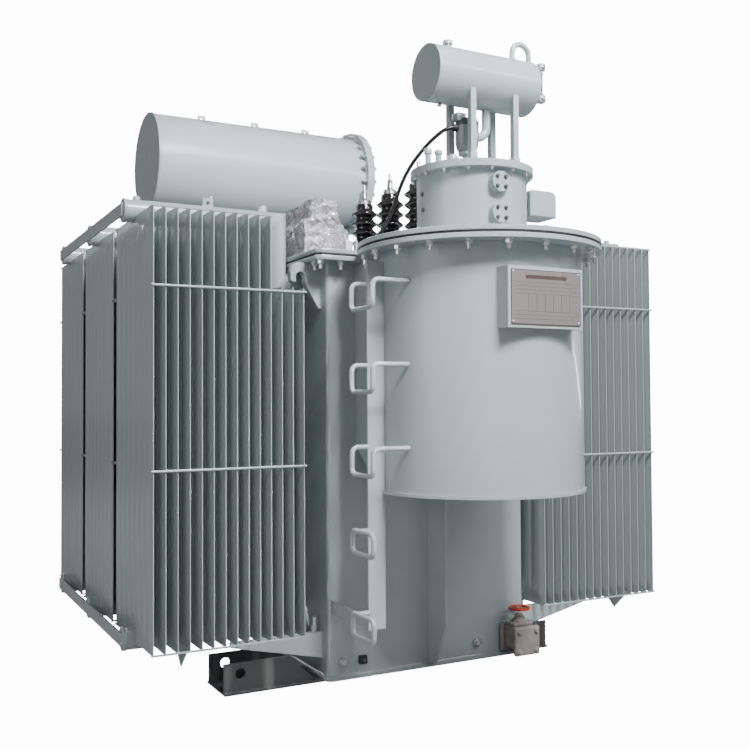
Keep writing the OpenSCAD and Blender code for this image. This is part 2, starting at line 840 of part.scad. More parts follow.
module level_gauge() {
    tube_r = 8;
    b = gauge_block;
    color(steel) translate([small_right, small_y - gauge_front, gauge_z]) {
        translate([0, -b / 2, -gauge_half - b / 2]) cube([b, b, b]);
        translate([0, -b / 2, gauge_half - b / 2]) cube([b, gauge_front + b, b]);
        translate([b / 2, 0, -gauge_half]) cylinder(h = 2 * gauge_half, r = tube_r);
    }
}

// Gas relay and its pipes

module gas_relay() {
    lid = 14;
    foot = 26;
    color(paint) translate([-relay_x, relay_y, relay_z]) {
        cylinder(h = foot, r1 = 0.74 * relay_r, r2 = relay_r);
        translate([0, 0, foot]) cylinder(h = relay_h - lid - foot, r = relay_r);
        translate([0, 0, relay_h - lid]) cylinder(h = lid, r = 0.86 * relay_r);
    }
}

module relay_pipes() {
    ring = 10;
    run = 2;
    turn_x = -relay_x + relay_r + relay_bend_r + run;
    color(paint) translate([0, relay_y, 0]) difference() {
        union() {
            translate([-relay_x, 0, head_top_z]) cylinder(h = relay_pipe_h, r = relay_pipe_r);
            for (z = [head_top_z, relay_z - ring])
                translate([-relay_x, 0, z]) cylinder(h = ring, r = 2 * relay_pipe_r);
            translate([0, 0, relay_axis_z])
                along_x(-relay_x, turn_x - relay_bend_r, relay_pipe_r);
            xz_bend([turn_x, 0, relay_axis_z], -1, 1, relay_bend_r, relay_pipe_r);
            translate([turn_x, 0, relay_axis_z + relay_bend_r])
                cylinder(h = small_z - relay_axis_z, r = relay_pipe_r);
        }
        translate([-relay_x, 0, relay_z]) cylinder(h = relay_h, r = relay_r + seat);
        translate([0, small_y - relay_y, small_z]) along_x(-small_l, small_l, small_r + seat, $fn = 96);
        translate([turn_x - 2 * relay_bend_r, -2 * relay_bend_r, small_z])
            cube([4 * relay_bend_r, 8 * relay_bend_r, small_r]);
    }
}

// Cable from the gas relay down to the terminal box on the cover, held at both ends.
// Its points are measured from the head's axis, at the top of the cover plate.
cable_route = [
    [-101.4, -55, 440], [-116, -55, 440], [-133, -51.5, 436.5], [-150, -43.5, 428.5], [-167, -29.5, 414],
    [-185.6, -9.9, 393.3], [-203.8, 14.5, 367.2], [-219.1, 41.6, 338.5], [-231.2, 68.8, 308.6],
    [-240.6, 93.6, 277.3], [-247.7, 114.9, 244.2], [-253.6, 132.9, 209], [-259.4, 148.9, 172.8],
    [-266.5, 164.7, 137.2], [-275.5, 182.3, 104.2], [-286.9, 202.7, 75.5], [-300.6, 226, 52.7],
    [-315.9, 250.5, 36.8], [-332.3, 273.4, 27.4], [-348, 291, 23.5], [-363.6, 303, 22]
];
cable_sides = 10;

function unit(v) = v / norm(v);
function heading(path, i) =
    unit(path[min(i + 1, len(path) - 1)] - path[max(i - 1, 0)]);
function ring_at(p, t, r, sides) =
    let (u = unit(cross(t, [0.35, 1, 0.15])), v = cross(t, u))
    [for (k = [0 : sides - 1]) p + r * (cos(360 * k / sides) * u + sin(360 * k / sides) * v)];

module tube(path, r, sides) {
    n = len(path);
    points = [for (i = [0 : n - 1]) each ring_at(path[i], heading(path, i), r, sides)];
    walls = [
        for (i = [0 : n - 2], k = [0 : sides - 1])
            let (a = i * sides + k, b = i * sides + (k + 1) % sides)
            [b, a, a + sides, b + sides]
    ];
    first = [for (k = [0 : sides - 1]) k];
    last = [for (k = [sides - 1 : -1 : 0]) (n - 1) * sides + k];
    polyhedron(points = points, faces = concat(walls, [first], [last]), convexity = 8);
}

module relay_cable() {
    color(black) translate([0, head_y, lid_z]) tube(cable_route, cable_r, cable_sides);
}

// Main conservator behind the cover

module main_eye() {
    difference() {
        translate([-eye_w / 2, -eye_t / 2, main_r - eye_t]) cube([eye_w, eye_t, eye_w]);
        translate([0, 0, main_r + eye_w / 2 - eye_t]) along_y(-eye_w, eye_w, eye_hole_r);
    }
}

module main_conservator() {
    eye_pitch = 0.26 * main_l;
    eye_shift = 7;
    color(paint) translate([0, main_y, main_z]) {
        along_x(main_left, main_right, main_r, $fn = 128);
        along_x(main_right - main_flange_t, main_right, main_flange_r, $fn = 128);
        for (k = rows) translate([eye_shift - main_shift + k * eye_pitch, 0, 0]) main_eye();
    }
}

module main_end_plate() {
    end_lip = 2;
    color(paint) translate([0, main_y, main_z])
        along_x(main_left - main_end_t, main_left, main_r + end_lip, $fn = 128);
}

module main_end_cover() {
    color(paint) translate([0, main_y, main_z])
        along_x(main_right, main_right + main_cover_t, main_flange_r, $fn = 128);
}

module main_supports() {
    rear = tank_y + flange_overhang;
    front_in = 0.7 * main_r;
    front_low = 0.72 * main_r;
    rear_out = 0.7 * main_r;
    rear_low = 0.6 * main_r;
    color(paint) difference() {
        for (s = [-1, 1])
            translate([-main_shift + s * support_span / 2 - support_t / 2, 0, 0])
                rotate([90, 0, 90]) linear_extrude(support_t)
                    polygon([
                        [main_y - main_r, lid_z], [rear, lid_z], [main_y + rear_out, main_z - rear_low],
                        [main_y + rear_out, main_z], [main_y - front_in, main_z - front_low]
                    ]);
        translate([0, main_y, main_z]) along_x(-main_l, main_l, main_r + seat, $fn = 128);
    }
}

module main_oil_pipe() {
    ring = 14;
    y = main_y - main_r / 2;
    color(paint) difference() {
        translate([-main_shift, y, lid_z]) {
            cylinder(h = main_lift, r = oil_pipe_r);
            cylinder(h = ring, r = 2 * oil_pipe_r);
        }
        translate([0, main_y, main_z]) along_x(-main_l, main_l, main_r + seat, $fn = 128);
        translate([-main_l, y - main_r, main_z - main_r / 2]) cube([2 * main_l, 2 * main_r, main_r]);
    }
}

// Bushings on the cover

module at_hv() {
    for (k = rows) translate([hv_x, -hv_front + k * hv_pitch, lid_z]) children();
}

module hv_clamp_rings() {
    color(steel) at_hv() cylinder(h = hv_ring_h, r = hv_ring_r);
}

module hv_porcelain() {
    body_h = hv_h - hv_ring_h - stud_l - hv_cap_h;
    step = body_h / (shed_count + 0.5);
    under = 0.35 * step;
    edge = 0.6 * step;
    rim = 0.22 * step;
    foot = 14;
    profile = [
        [0, 0], [core_r + foot, 0],
        for (i = [0 : shed_count - 1]) each [
            [core_r, i * step + under], [shed_r, i * step + edge],
            [shed_r, i * step + edge + rim], [core_r, (i + 1) * step]
        ],
        [core_r, body_h], [0, body_h]
    ];
    color(porcelain) at_hv() translate([0, 0, hv_ring_h]) rotate_extrude() polygon(profile);
}

module hv_terminals() {
    cap_inset = 8;
    color(steel) at_hv() translate([0, 0, hv_h - stud_l - hv_cap_h]) {
        cylinder(h = hv_cap_h, r = core_r - cap_inset);
        cylinder(h = hv_cap_h + stud_l, r = stud_r);
    }
}

module lv_wrapped_row() {
    low = lv_w / 2;
    high = lv_top_w / 2;
    color([0.86, 0.88, 0.88, 0.6]) translate([-lv_x, lv_y + lv_l, lid_z]) rotate([90, 0, 0])
        linear_extrude(lv_l) polygon([
            [-low, 0], [low, 0], [low, lv_shoulder_h], [high, lv_neck_h], [high, lv_h],
            [-high, lv_h], [-high, lv_neck_h], [-low, lv_shoulder_h]
        ]);
}

// Small terminal box that takes the relay's cable, and a capped stub in front of it
module lid_fittings() {
    rim_y = -tank_y - flange_overhang;
    box = [30, 30, 44];
    box_left = -400;
    box_inset = 35;
    stub_x = -364;
    stub_inset = 17;
    stub_h = 44;
    stub_r = 12;
    stub_tip_r = 6;
    color(steel) {
        translate([box_left, rim_y + box_inset, lid_z]) cube(box);
        translate([stub_x, rim_y + stub_inset, lid_z]) cylinder(h = stub_h, r1 = stub_r, r2 = stub_tip_r);
    }
}

// Radiators

// One radiator: fins on two headers, brace bars, lifting lug and the pipe ends to the tank.
// It is drawn for the right side; x is measured from the tank wall.
module radiator(fins, gap) {
    outer = gap + (fins - 1) * fin_pitch;
    end = outer + header_out;
    lug = 44;
    foot_fin = fins - 4;
    foot_y = foot_inset - fin_w / 2;
    difference() {
        union() {
            for (i = [0 : fins - 1]) {
                top = i < short_fins ? short_fin_top : fin_top_z;
                translate([gap + i * fin_pitch - fin_t / 2, -fin_w / 2, fin_z])
                    cube([fin_t, fin_w, top - fin_z]);
            }
            translate([0, 0, header_low_z]) along_x(valve_face, end, header_r);
            translate([0, 0, header_top_z]) along_x(elbow_x + elbow_r, end, header_r);
            xz_bend([elbow_x, 0, header_top_z], 1, -1, elbow_r, header_r);
            translate([elbow_x, 0, branch_z + elbow_r])
                cylinder(h = header_top_z - branch_z - 2 * elbow_r, r = header_r);
            xz_bend([elbow_x, 0, branch_z], -1, 1, elbow_r, header_r);
            for (z = [brace_low_z, brace_high_z], sy = [-1, 1])
                translate([0, sy * (fin_w / 2 + brace_r / 2), z])
                    along_x(gap - fin_t, outer + fin_t, brace_r);
            translate([(gap + outer) / 2 - lug / 2, -fin_t / 2, header_top_z + header_r - fin_t])
                cube([lug, fin_t, lug]);
            translate([gap + foot_fin * fin_pitch - foot_t / 2, foot_y, fin_z])
                rotate([90, 0, 90]) linear_extrude(foot_t)
                    polygon([[0, fin_t], [0, 0], [foot_w / 2, -foot_drop], [foot_w, 0], [foot_w, fin_t]]);
        }
        translate([(gap + outer) / 2, 0, header_top_z + header_r + lug / 2 - fin_t])
            along_y(-lug, lug, lug_hole_r);
    }
}

module left_radiator(row) {
    color(rad_paint) translate([-tank_x, row * radiator_pitch, 0]) mirror([1, 0, 0])
        radiator(fins_left, fin_gap_left);
}

module right_radiator(row) {
    color(rad_paint) translate([tank_x, row * radiator_pitch, 0]) radiator(fins_right, fin_gap_right);
}

module radiator_left_front() { left_radiator(-1); }
module radiator_left_middle() { left_radiator(0); }
module radiator_left_rear() { left_radiator(1); }
module radiator_right_front() { right_radiator(-1); }
module radiator_right_middle() { right_radiator(0); }
module radiator_right_rear() { right_radiator(1); }

module radiator_valves() {
    color(rad_paint) for (sx = [0, 1], row = rows, z = [header_low_z, branch_z])
        mirror([sx, 0, 0]) translate([tank_x, row * radiator_pitch, z])
            along_x(0, valve_face, rad_valve_r);
}

module tie_bars(end) {
    l = 2 * radiator_pitch + tie_w;
    for (z = [header_low_z, header_top_z])
        translate([end, -l / 2, z - tie_w / 2]) cube([tie_t, l, tie_w]);
}

module radiator_tie_bars() {
    color(rad_paint) {
        tie_bars(tank_x + fin_gap_right + (fins_right - 1) * fin_pitch + header_out);
        mirror([1, 0, 0]) tie_bars(tank_x + fin_gap_left + (fins_left - 1) * fin_pitch + header_out);
    }
}

base_plate();
base_skids();
tank();
tank_flange();
cover_gasket();
cover_plate();
tap_changer_pocket();
pocket_bottom();
pocket_rib();
ladder_stringer();
ladder_rungs();
lifting_hooks();
nameplate_box();
nameplate();
drain_valve_body();
drain_valve_bonnet();
drain_handwheel();
front_plugs();
radiator_brackets();
head_drum();
head_cover();
head_blank_flanges();
head_drive_box();
small_conservator();
small_conservator_posts();
breather_pipe();
level_gauge();
gas_relay();
relay_pipes();
relay_cable();
main_conservator();
main_end_plate();
main_end_cover();
main_supports();
main_oil_pipe();
hv_clamp_rings();
hv_porcelain();
hv_terminals();
lv_wrapped_row();
lid_fittings();
radiator_left_front();
radiator_left_middle();
radiator_left_rear();
radiator_right_front();
radiator_right_middle();
radiator_right_rear();
radiator_valves();
radiator_tie_bars();
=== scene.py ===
"""Dressed scene of an oil-filled power transformer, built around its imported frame."""

import functools
import logging
import math
from dataclasses import dataclass
from enum import Enum
from typing import Iterable, Sequence

import bmesh
import bpy
from mathutils import Matrix, Vector, noise


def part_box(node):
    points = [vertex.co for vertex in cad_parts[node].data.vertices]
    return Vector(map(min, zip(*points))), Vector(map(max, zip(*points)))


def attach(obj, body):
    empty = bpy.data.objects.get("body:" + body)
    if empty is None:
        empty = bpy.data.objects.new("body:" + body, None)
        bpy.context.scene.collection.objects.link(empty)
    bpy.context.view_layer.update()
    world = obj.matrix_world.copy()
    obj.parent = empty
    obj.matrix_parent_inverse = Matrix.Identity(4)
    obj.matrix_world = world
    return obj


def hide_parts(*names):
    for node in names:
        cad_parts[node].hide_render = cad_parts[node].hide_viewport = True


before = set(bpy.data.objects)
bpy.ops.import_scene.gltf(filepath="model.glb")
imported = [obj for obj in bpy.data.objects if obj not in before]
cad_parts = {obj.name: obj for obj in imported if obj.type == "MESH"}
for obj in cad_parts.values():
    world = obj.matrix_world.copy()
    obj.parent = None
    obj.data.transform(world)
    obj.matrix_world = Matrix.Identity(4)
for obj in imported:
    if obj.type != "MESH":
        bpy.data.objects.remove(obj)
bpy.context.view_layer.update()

LOG = logging.getLogger("transformer")
MAIN_BODY = "transformer"
WHEEL_BODY = "handwheel"
UP = (0.0, 0.0, 1.0)
DOWN = (0.0, 0.0, -1.0)
FORWARD = (0.0, -1.0, 0.0)
RIGHT = (1.0, 0.0, 0.0)
LEFT = (-1.0, 0.0, 0.0)
MERGE = 1e-6
SHARP_ANGLE = math.radians(38.0)

Colour = tuple[float, float, float]
Pair = tuple[float, float]
Point = tuple[float, float, float]


class Side(Enum):
    """Sides of the tank, with the sign of their X."""

    LEFT = -1
    RIGHT = 1


class Row(Enum):
    """Places of a radiator along its bank, from the front to the rear."""

    FRONT = -1
    MIDDLE = 0
    REAR = 1


# Finishes


class NodeBench:
    """Wires the shader nodes of one finish."""

    def __init__(self, name: str) -> None:
        """Starts a material with its shader.

        Args:
            name: The material's name.
        """
        self.material = bpy.data.materials.new(name)
        self.material.use_nodes = True
        self.tree = self.material.node_tree
        self.shader = self.tree.nodes["Principled BSDF"]
        self.coords = self.tree.nodes.new("ShaderNodeTexCoord").outputs["Object"]

    def fix(self, values: dict[str, object]) -> None:
        """Sets constants on the shader's own sockets."""
        for socket, value in values.items():
            self.shader.inputs[socket].default_value = value

    def link(self, source: bpy.types.NodeSocket, socket: str) -> None:
        """Leads a socket to one of the shader's."""
        self.tree.links.new(source, self.shader.inputs[socket])

    def stretched(self, stretch: Point) -> bpy.types.NodeSocket:
        """Object coordinates, scaled along each axis."""
        mapping = self.tree.nodes.new("ShaderNodeMapping")
        mapping.inputs["Scale"].default_value = stretch
        self.tree.links.new(self.coords, mapping.inputs["Vector"])
        return mapping.outputs["Vector"]

    def grain(self, scale: float, detail: float = 3.0, stretch: Point = (1, 1, 1),
              warp: float = 0.0) -> bpy.types.NodeSocket:
        """Adds a noise.

        Args:
            scale: Waves per metre.
            detail: Octaves.
            stretch: Scale along each axis.
            warp: Distortion of the noise.

        Returns:
            The noise's factor.
        """
        node = self.tree.nodes.new("ShaderNodeTexNoise")
        node.inputs["Scale"].default_value = scale
        node.inputs["Detail"].default_value = detail
        node.inputs["Distortion"].default_value = warp
        self.tree.links.new(self.stretched(stretch), node.inputs["Vector"])
        return node.outputs["Fac"]

    def cells(self, scale: float) -> bpy.types.NodeSocket:
        """Distance to the edges of random cells, as the creases of film lie."""
        node = self.tree.nodes.new("ShaderNodeTexVoronoi")
        node.feature = "DISTANCE_TO_EDGE"
        node.inputs["Scale"].default_value = scale
        self.tree.links.new(self.coords, node.inputs["Vector"])
        return node.outputs["Distance"]

    def spread(self, source: bpy.types.NodeSocket, low: float, high: float, to_low: float,
               to_high: float) -> bpy.types.NodeSocket:
        """Maps a range of a factor to another range.

        Args:
            source: The factor.
            low: Where the range starts.
            high: Where it ends.
            to_low: Result at the start.
            to_high: Result at the end.

        Returns:
            The mapped factor.
        """
        node = self.tree.nodes.new("ShaderNodeMapRange")
        for index, value in enumerate((low, high, to_low, to_high), start=1):
            node.inputs[index].default_value = value
        self.tree.links.new(source, node.inputs[0])
        return node.outputs[0]

    def blend(self, factor: bpy.types.NodeSocket, first: object, second: object) -> bpy.types.NodeSocket:
        """Mixes two colours, each a colour or a socket.

        Args:
            factor: Share of the second colour.
            first: Colour at factor 0.
            second: Colour at factor 1.

        Returns:
            The mixed colour.
        """
        node = self.tree.nodes.new("ShaderNodeMix")
        node.data_type = "RGBA"
        self.tree.links.new(factor, node.inputs[0])
        for socket, colour in ((node.inputs[6], first), (node.inputs[7], second)):
            if isinstance(colour, bpy.types.NodeSocket):
                self.tree.links.new(colour, socket)
            else:
                socket.default_value = (*colour, 1.0)
        return node.outputs[2]

    def relief(self, height: bpy.types.NodeSocket, strength: float, depth: float,
               edge: float = 0.0) -> None:
        """Gives the surface its fine relief.

        Args:
            height: Height of the relief.
            strength: Share of the relief that shows.
            depth: Its depth in metres.
            edge: Radius that softens hard edges, or 0.
        """
        bump = self.tree.nodes.new("ShaderNodeBump")
        bump.inputs["Strength"].default_value = strength
        bump.inputs["Distance"].default_value = depth
        self.tree.links.new(height, bump.inputs["Height"])
        if edge:
            soft = self.tree.nodes.new("ShaderNodeBevel")
            soft.samples = 4
            soft.inputs["Radius"].default_value = edge
            self.tree.links.new(soft.outputs["Normal"], bump.inputs["Normal"])
        self.link(bump.outputs["Normal"], "Normal")


def toned(colour: Colour, share: float) -> Colour:
    """A colour made lighter or darker by a share."""
    return tuple(channel * share for channel in colour)


@dataclass(frozen=True)
class Finish:
    """What every finish has: a name, a colour and the name of a record's slot."""

    name: str
    colour: Colour
    slot: str
    roughness: float = 0.4

    @functools.cache
    def material(self) -> bpy.types.Material:
        """The finish as a material, made once."""
        bench = NodeBench(self.name)
        self.wire(bench)
        return bench.material

    def wire(self, bench: NodeBench) -> None:
        """Wires the finish's nodes; each kind of finish has its own."""
        raise NotImplementedError


@dataclass(frozen=True)
class Enamel(Finish):
    """Sprayed enamel with a faint cloudiness, dust that ran down and orange peel."""

    cloud: float = 0.07
    dust: float = 0.10
    peel: float = 0.06
    gloss: float = 0.40
    edge: float = 0.0025
    dust_colour: Colour = (0.50, 0.50, 0.46)

    def wire(self, bench: NodeBench) -> None:
        """Wires cloudy colour, runs of dust, uneven gloss and orange peel."""
        mist = bench.grain(1.9, detail=6.0)
        runs = bench.grain(5.0, detail=5.0, stretch=(3.0, 3.0, 0.22))
        tone = bench.spread(mist, 0.3, 0.7, 0.0, 1.0)
        base = bench.blend(tone, toned(self.colour, 1.0 - self.cloud), self.colour)
        soil = bench.spread(runs, 0.52, 0.80, 0.0, self.dust)
        bench.link(bench.blend(soil, base, self.dust_colour), "Base Color")
        bench.link(bench.spread(mist, 0.3, 0.7, 1.25 * self.roughness, 0.85 * self.roughness), "Roughness")
        bench.fix({"Coat Weight": self.gloss, "Coat Roughness": 0.09})
        bench.relief(bench.grain(240.0, detail=2.0), self.peel, 0.0008, self.edge)


@dataclass(frozen=True)
class Metal(Finish):
    """Bare or plated metal with fine scratches and a stained bloom."""

    stain: float = 0.25

    def wire(self, bench: NodeBench) -> None:
        """Wires a bloom in the colour and scratches in gloss and relief."""
        bloom = bench.grain(26.0, detail=5.0)
        scratch = bench.grain(160.0, detail=4.0)
        tone = bench.spread(bloom, 0.35, 0.7, 0.0, 1.0)
        bench.link(bench.blend(tone, toned(self.colour, 1.0 - self.stain), self.colour), "Base Color")
        bench.link(bench.spread(scratch, 0.3, 0.7, 0.8 * self.roughness, 1.3 * self.roughness), "Roughness")
        bench.fix({"Metallic": 1.0})
        bench.relief(scratch, 0.08, 0.0006)


@dataclass(frozen=True)
class Casting(Finish):
    """Primed casting with a sandy skin."""

    def wire(self, bench: NodeBench) -> None:
        """Wires blotchy primer and the sandy relief of the mould."""
        blotch = bench.grain(14.0, detail=6.0)
        sand = bench.grain(420.0, detail=3.0)
        tone = bench.spread(blotch, 0.35, 0.7, 0.0, 1.0)
        bench.link(bench.blend(tone, toned(self.colour, 0.78), self.colour), "Base Color")
        bench.link(bench.spread(blotch, 0.3, 0.7, 1.15 * self.roughness, 0.8 * self.roughness), "Roughness")
        bench.relief(sand, 0.25, 0.0012)


@dataclass(frozen=True)
class Glaze(Finish):
    """Glazed porcelain whose colour thins and pools."""

    thin: Colour = (0.13, 0.050, 0.032)

    def wire(self, bench: NodeBench) -> None:
        """Wires pooled colour under a clear glaze."""
        pool = bench.grain(18.0, detail=4.0)
        bench.link(bench.blend(bench.spread(pool, 0.5, 0.8, 0.0, 0.6), self.colour, self.thin), "Base Color")
        bench.link(bench.spread(pool, 0.3, 0.7, self.roughness, 1.8 * self.roughness), "Roughness")
        bench.fix({"Coat Weight": 1.0, "Coat Roughness": 0.05})
        bench.relief(bench.grain(60.0, detail=2.0), 0.05, 0.001)


@dataclass(frozen=True)
class Rubber(Finish):
    """Rubber or a cable's sheath, dull and slightly dusty."""

    def wire(self, bench: NodeBench) -> None:
        """Wires a grey bloom and a fine grain."""
        bloom = bench.grain(30.0, detail=5.0)
        tone = bench.spread(bloom, 0.45, 0.8, 0.0, 0.6)
        bench.link(bench.blend(tone, self.colour, toned(self.colour, 2.6)), "Base Color")
        bench.link(bench.spread(bloom, 0.3, 0.7, 0.8 * self.roughness, 1.2 * self.roughness), "Roughness")
        bench.relief(bench.grain(500.0, detail=2.0), 0.15, 0.0005)


@dataclass(frozen=True)
class PackingFilm(Finish):
    """Clear packing film in many crumpled layers, with painted shade on its folds and painted highlights on
    its glints and creases.
    """

    cover: float = 0.74
    # Share of the film's colour left on its darkest folds: painted shade.
    shade: float = 0.50

    def wire(self, bench: NodeBench) -> None:
        """Wires painted shade on the soft folds, painted white glints and painted highlights along the
        creases, with part transparency and a crumpled relief.
        """
        creases = bench.cells(30.0)
        folds = bench.grain(17.0, detail=3.0, warp=1.4)
        sparks = bench.grain(44.0, detail=2.0, warp=0.8)
        # Painted shade: the film's colour darkens in the hollows of its folds.
        tone = bench.spread(folds, 0.36, 0.62, 0.0, 1.0)
        painted_fold_shade = bench.blend(tone, toned(self.colour, self.shade), self.colour)
        # Painted glints: the colour turns near-white where the fine noise peaks, and the same noise makes the
        # film more opaque there.
        painted_glint = bench.blend(bench.spread(sparks, 0.57, 0.66, 0.0, 0.85), painted_fold_shade, (0.97, 0.96, 0.98))
        # Painted highlight: the colour turns near-white along the creases.
        edge = bench.spread(creases, 0.0, 0.05, 0.55, 0.0)
        bench.link(bench.blend(edge, painted_glint, (0.95, 0.94, 0.97)), "Base Color")
        bench.link(bench.spread(folds, 0.3, 0.7, self.roughness, 2.0 * self.roughness), "Roughness")
        bench.link(bench.spread(sparks, 0.45, 0.66, self.cover, 0.97), "Alpha")
        bench.fix({"Specular IOR Level": 1.0, "Coat Weight": 1.0, "Coat Roughness": 0.06})
        bench.relief(folds, 1.0, 0.030)


TANK_ENAMEL = Enamel("tank_enamel", (0.396, 0.450, 0.462), "tank_paint", roughness=0.32)
# Painted shade: the tank's enamel made a little darker for the fins, whose paint is the same as the tank's.
FIN_ENAMEL_SHADED = Enamel("fin_enamel_shaded", (0.380, 0.432, 0.440), "radiator_paint", roughness=0.36, edge=0.0)
SKID_ENAMEL = Enamel("skid_enamel", (0.028, 0.031, 0.032), "skid_paint", roughness=0.42, dust=0.18)
WHITE_ENAMEL = Enamel("white_enamel", (0.80, 0.80, 0.79), "zinc", roughness=0.3, cloud=0.04)
RED_ENAMEL = Enamel("red_enamel", (0.52, 0.012, 0.016), "handwheel", roughness=0.24, dust=0.04, edge=0.0)
LID_ENAMEL = Enamel("relay_lid_enamel", (0.060, 0.068, 0.068), "relay_paint", roughness=0.35)
RELAY_ENAMEL = Enamel("relay_enamel", (0.22, 0.245, 0.245), "relay_paint", roughness=0.34)
ZINC = Metal("zinc_plate", (0.66, 0.67, 0.68), "zinc", roughness=0.30)
BRIGHT_ZINC = Metal("bright_zinc", (0.93, 0.93, 0.94), "zinc", roughness=0.26, stain=0.12)
DARK_STEEL = Metal("dark_steel", (0.16, 0.17, 0.17), "zinc", roughness=0.42)
BRASS = Metal("brass", (0.60, 0.44, 0.20), "zinc", roughness=0.30)
GASKET = Rubber("gasket_rubber", (0.010, 0.010, 0.011), "gasket", roughness=0.62)
SHEATH = Rubber("cable_sheath", (0.008, 0.008, 0.009), "cable", roughness=0.38)
GAUGE_GLASS = Glaze("gauge_glass", (0.012, 0.014, 0.015), "zinc", roughness=0.06, thin=(0.03, 0.032, 0.034))
VALVE_CASTING = Casting("valve_casting", (0.285, 0.265, 0.250), "valve_body", roughness=0.52)
PORCELAIN = Glaze("brown_porcelain", (0.008, 0.006, 0.006), "porcelain", roughness=0.11,
                  thin=(0.017, 0.010, 0.009))
CREAM_PORCELAIN = Glaze("cream_porcelain", (0.62, 0.52, 0.38), "porcelain", roughness=0.14,
                        thin=(0.50, 0.38, 0.24))
FILM = PackingFilm("packing_film", (0.78, 0.75, 0.80), "film", roughness=0.13)
PLATE = Enamel("rating_plate", (0.205, 0.180, 0.176), "nameplate", roughness=0.30, dust=0.05, edge=0.0)
INK = Enamel("plate_ink", (0.070, 0.042, 0.040), "nameplate", roughness=0.45, dust=0.05, edge=0.0)


# Forms


def new_verts(geometry: dict[str, list]) -> list[bmesh.types.BMVert]:
    """The vertices among what an operator made."""
    return [item for item in geometry["geom"] if isinstance(item, bmesh.types.BMVert)]


def soften(form: bmesh.types.BMesh, radius: float, segments: int = 2, angle: float = 30.0) -> None:
    """Bevels the form's hard edges.

    Args:
        form: The form.
        radius: Width of the bevel.
        segments: Steps in the bevel.
        angle: Least angle in degrees of an edge that is bevelled.
    """
    hard = [edge for edge in form.edges
            if len(edge.link_faces) == 2 and edge.calc_face_angle() > math.radians(angle)]
    bmesh.ops.bevel(form, geom=hard, offset=radius, offset_type="OFFSET", affect="EDGES",
                    segments=segments, profile=0.5, material=-1, clamp_overlap=True)


def slab(low: Point, high: Point, radius: float = 0.0, segments: int = 2) -> bmesh.types.BMesh:
    """A block between two corners.

    Args:
        low: Lowest corner.
        high: Highest corner.
        radius: Bevel of its edges.
        segments: Steps in the bevel.

    Returns:
        The block.
    """
    form = bmesh.new()
    bmesh.ops.create_cube(form, size=1.0)
    bmesh.ops.scale(form, vec=Vector(high) - Vector(low), verts=form.verts)
    bmesh.ops.translate(form, vec=(Vector(low) + Vector(high)) / 2.0, verts=form.verts)
    if radius:
        soften(form, radius, segments)
    return form


def turned(profile: Sequence[Pair], steps: int = 32, closed: bool = False) -> bmesh.types.BMesh:
    """A form turned about Z.

    Args:
        profile: Radius and height of each point.
        steps: Steps round the axis.
        closed: Whether the last point joins the first.

    Returns:
        The turned form.
    """
    form = bmesh.new()
    verts = [form.verts.new((radius, 0.0, height)) for radius, height in profile]
    edges = [form.edges.new(ends) for ends in zip(verts, verts[1:])]
    if closed:
        edges.append(form.edges.new((verts[-1], verts[0])))
    bmesh.ops.spin(form, geom=verts + edges, cent=(0, 0, 0), axis=UP, dvec=(0, 0, 0), angle=math.tau,
                   steps=steps, use_merge=True, use_duplicate=False, use_normal_flip=False)
    bmesh.ops.remove_doubles(form, verts=form.verts, dist=MERGE)
    bmesh.ops.recalc_face_normals(form, faces=form.faces)
    return form


def hoop(radius: float, thick: float, sides: int, steps: int) -> bmesh.types.BMesh:
    """A round ring about Z.

    Args:
        radius: Radius to the middle of its section.
        thick: Radius of its section.
        sides: Sides of the section.
        steps: Steps round the axis.

    Returns:
        The ring.
    """
    angles = [math.tau * index / sides for index in range(sides)]
    return turned([(radius + thick * math.cos(a), thick * math.sin(a)) for a in angles], steps, closed=True)


def drum(radius: float, height: float, edge: float = 0.0, steps: int = 32) -> bmesh.types.BMesh:
    """A short cylinder on Z with eased rims.

    Args:
        radius: Its radius.
        height: Its height, from z 0.
        edge: Width of the eased rim.
        steps: Steps round the axis.

    Returns:
        The cylinder.
    """
    if not edge:
        return turned([(0, 0), (radius, 0), (radius, height), (0, height)], steps)
    mid = 0.3 * edge
    return turned([(0, 0), (radius - edge, 0), (radius - mid, mid), (radius, edge), (radius, height - edge),
                   (radius - mid, height - mid), (radius - edge, height), (0, height)], steps)


def cut_plate(outline: Sequence[Pair], thickness: float, radius: float = 0.0) -> bmesh.types.BMesh:
    """A flat plate on XY, from z 0 to its thickness.

    Args:
        outline: Corners in order.
        thickness: Thickness of the plate.
        radius: Bevel of its edges.

    Returns:
        The plate.
    """
    form = bmesh.new()
    face = form.faces.new([form.verts.new((x, y, 0.0)) for x, y in outline])
    grown = bmesh.ops.extrude_face_region(form, geom=[face], use_keep_orig=True)
    bmesh.ops.translate(form, vec=(0, 0, thickness), verts=new_verts(grown))
    bmesh.ops.recalc_face_normals(form, faces=form.faces)
    if radius:
        soften(form, radius, 1, 20.0)
    return form


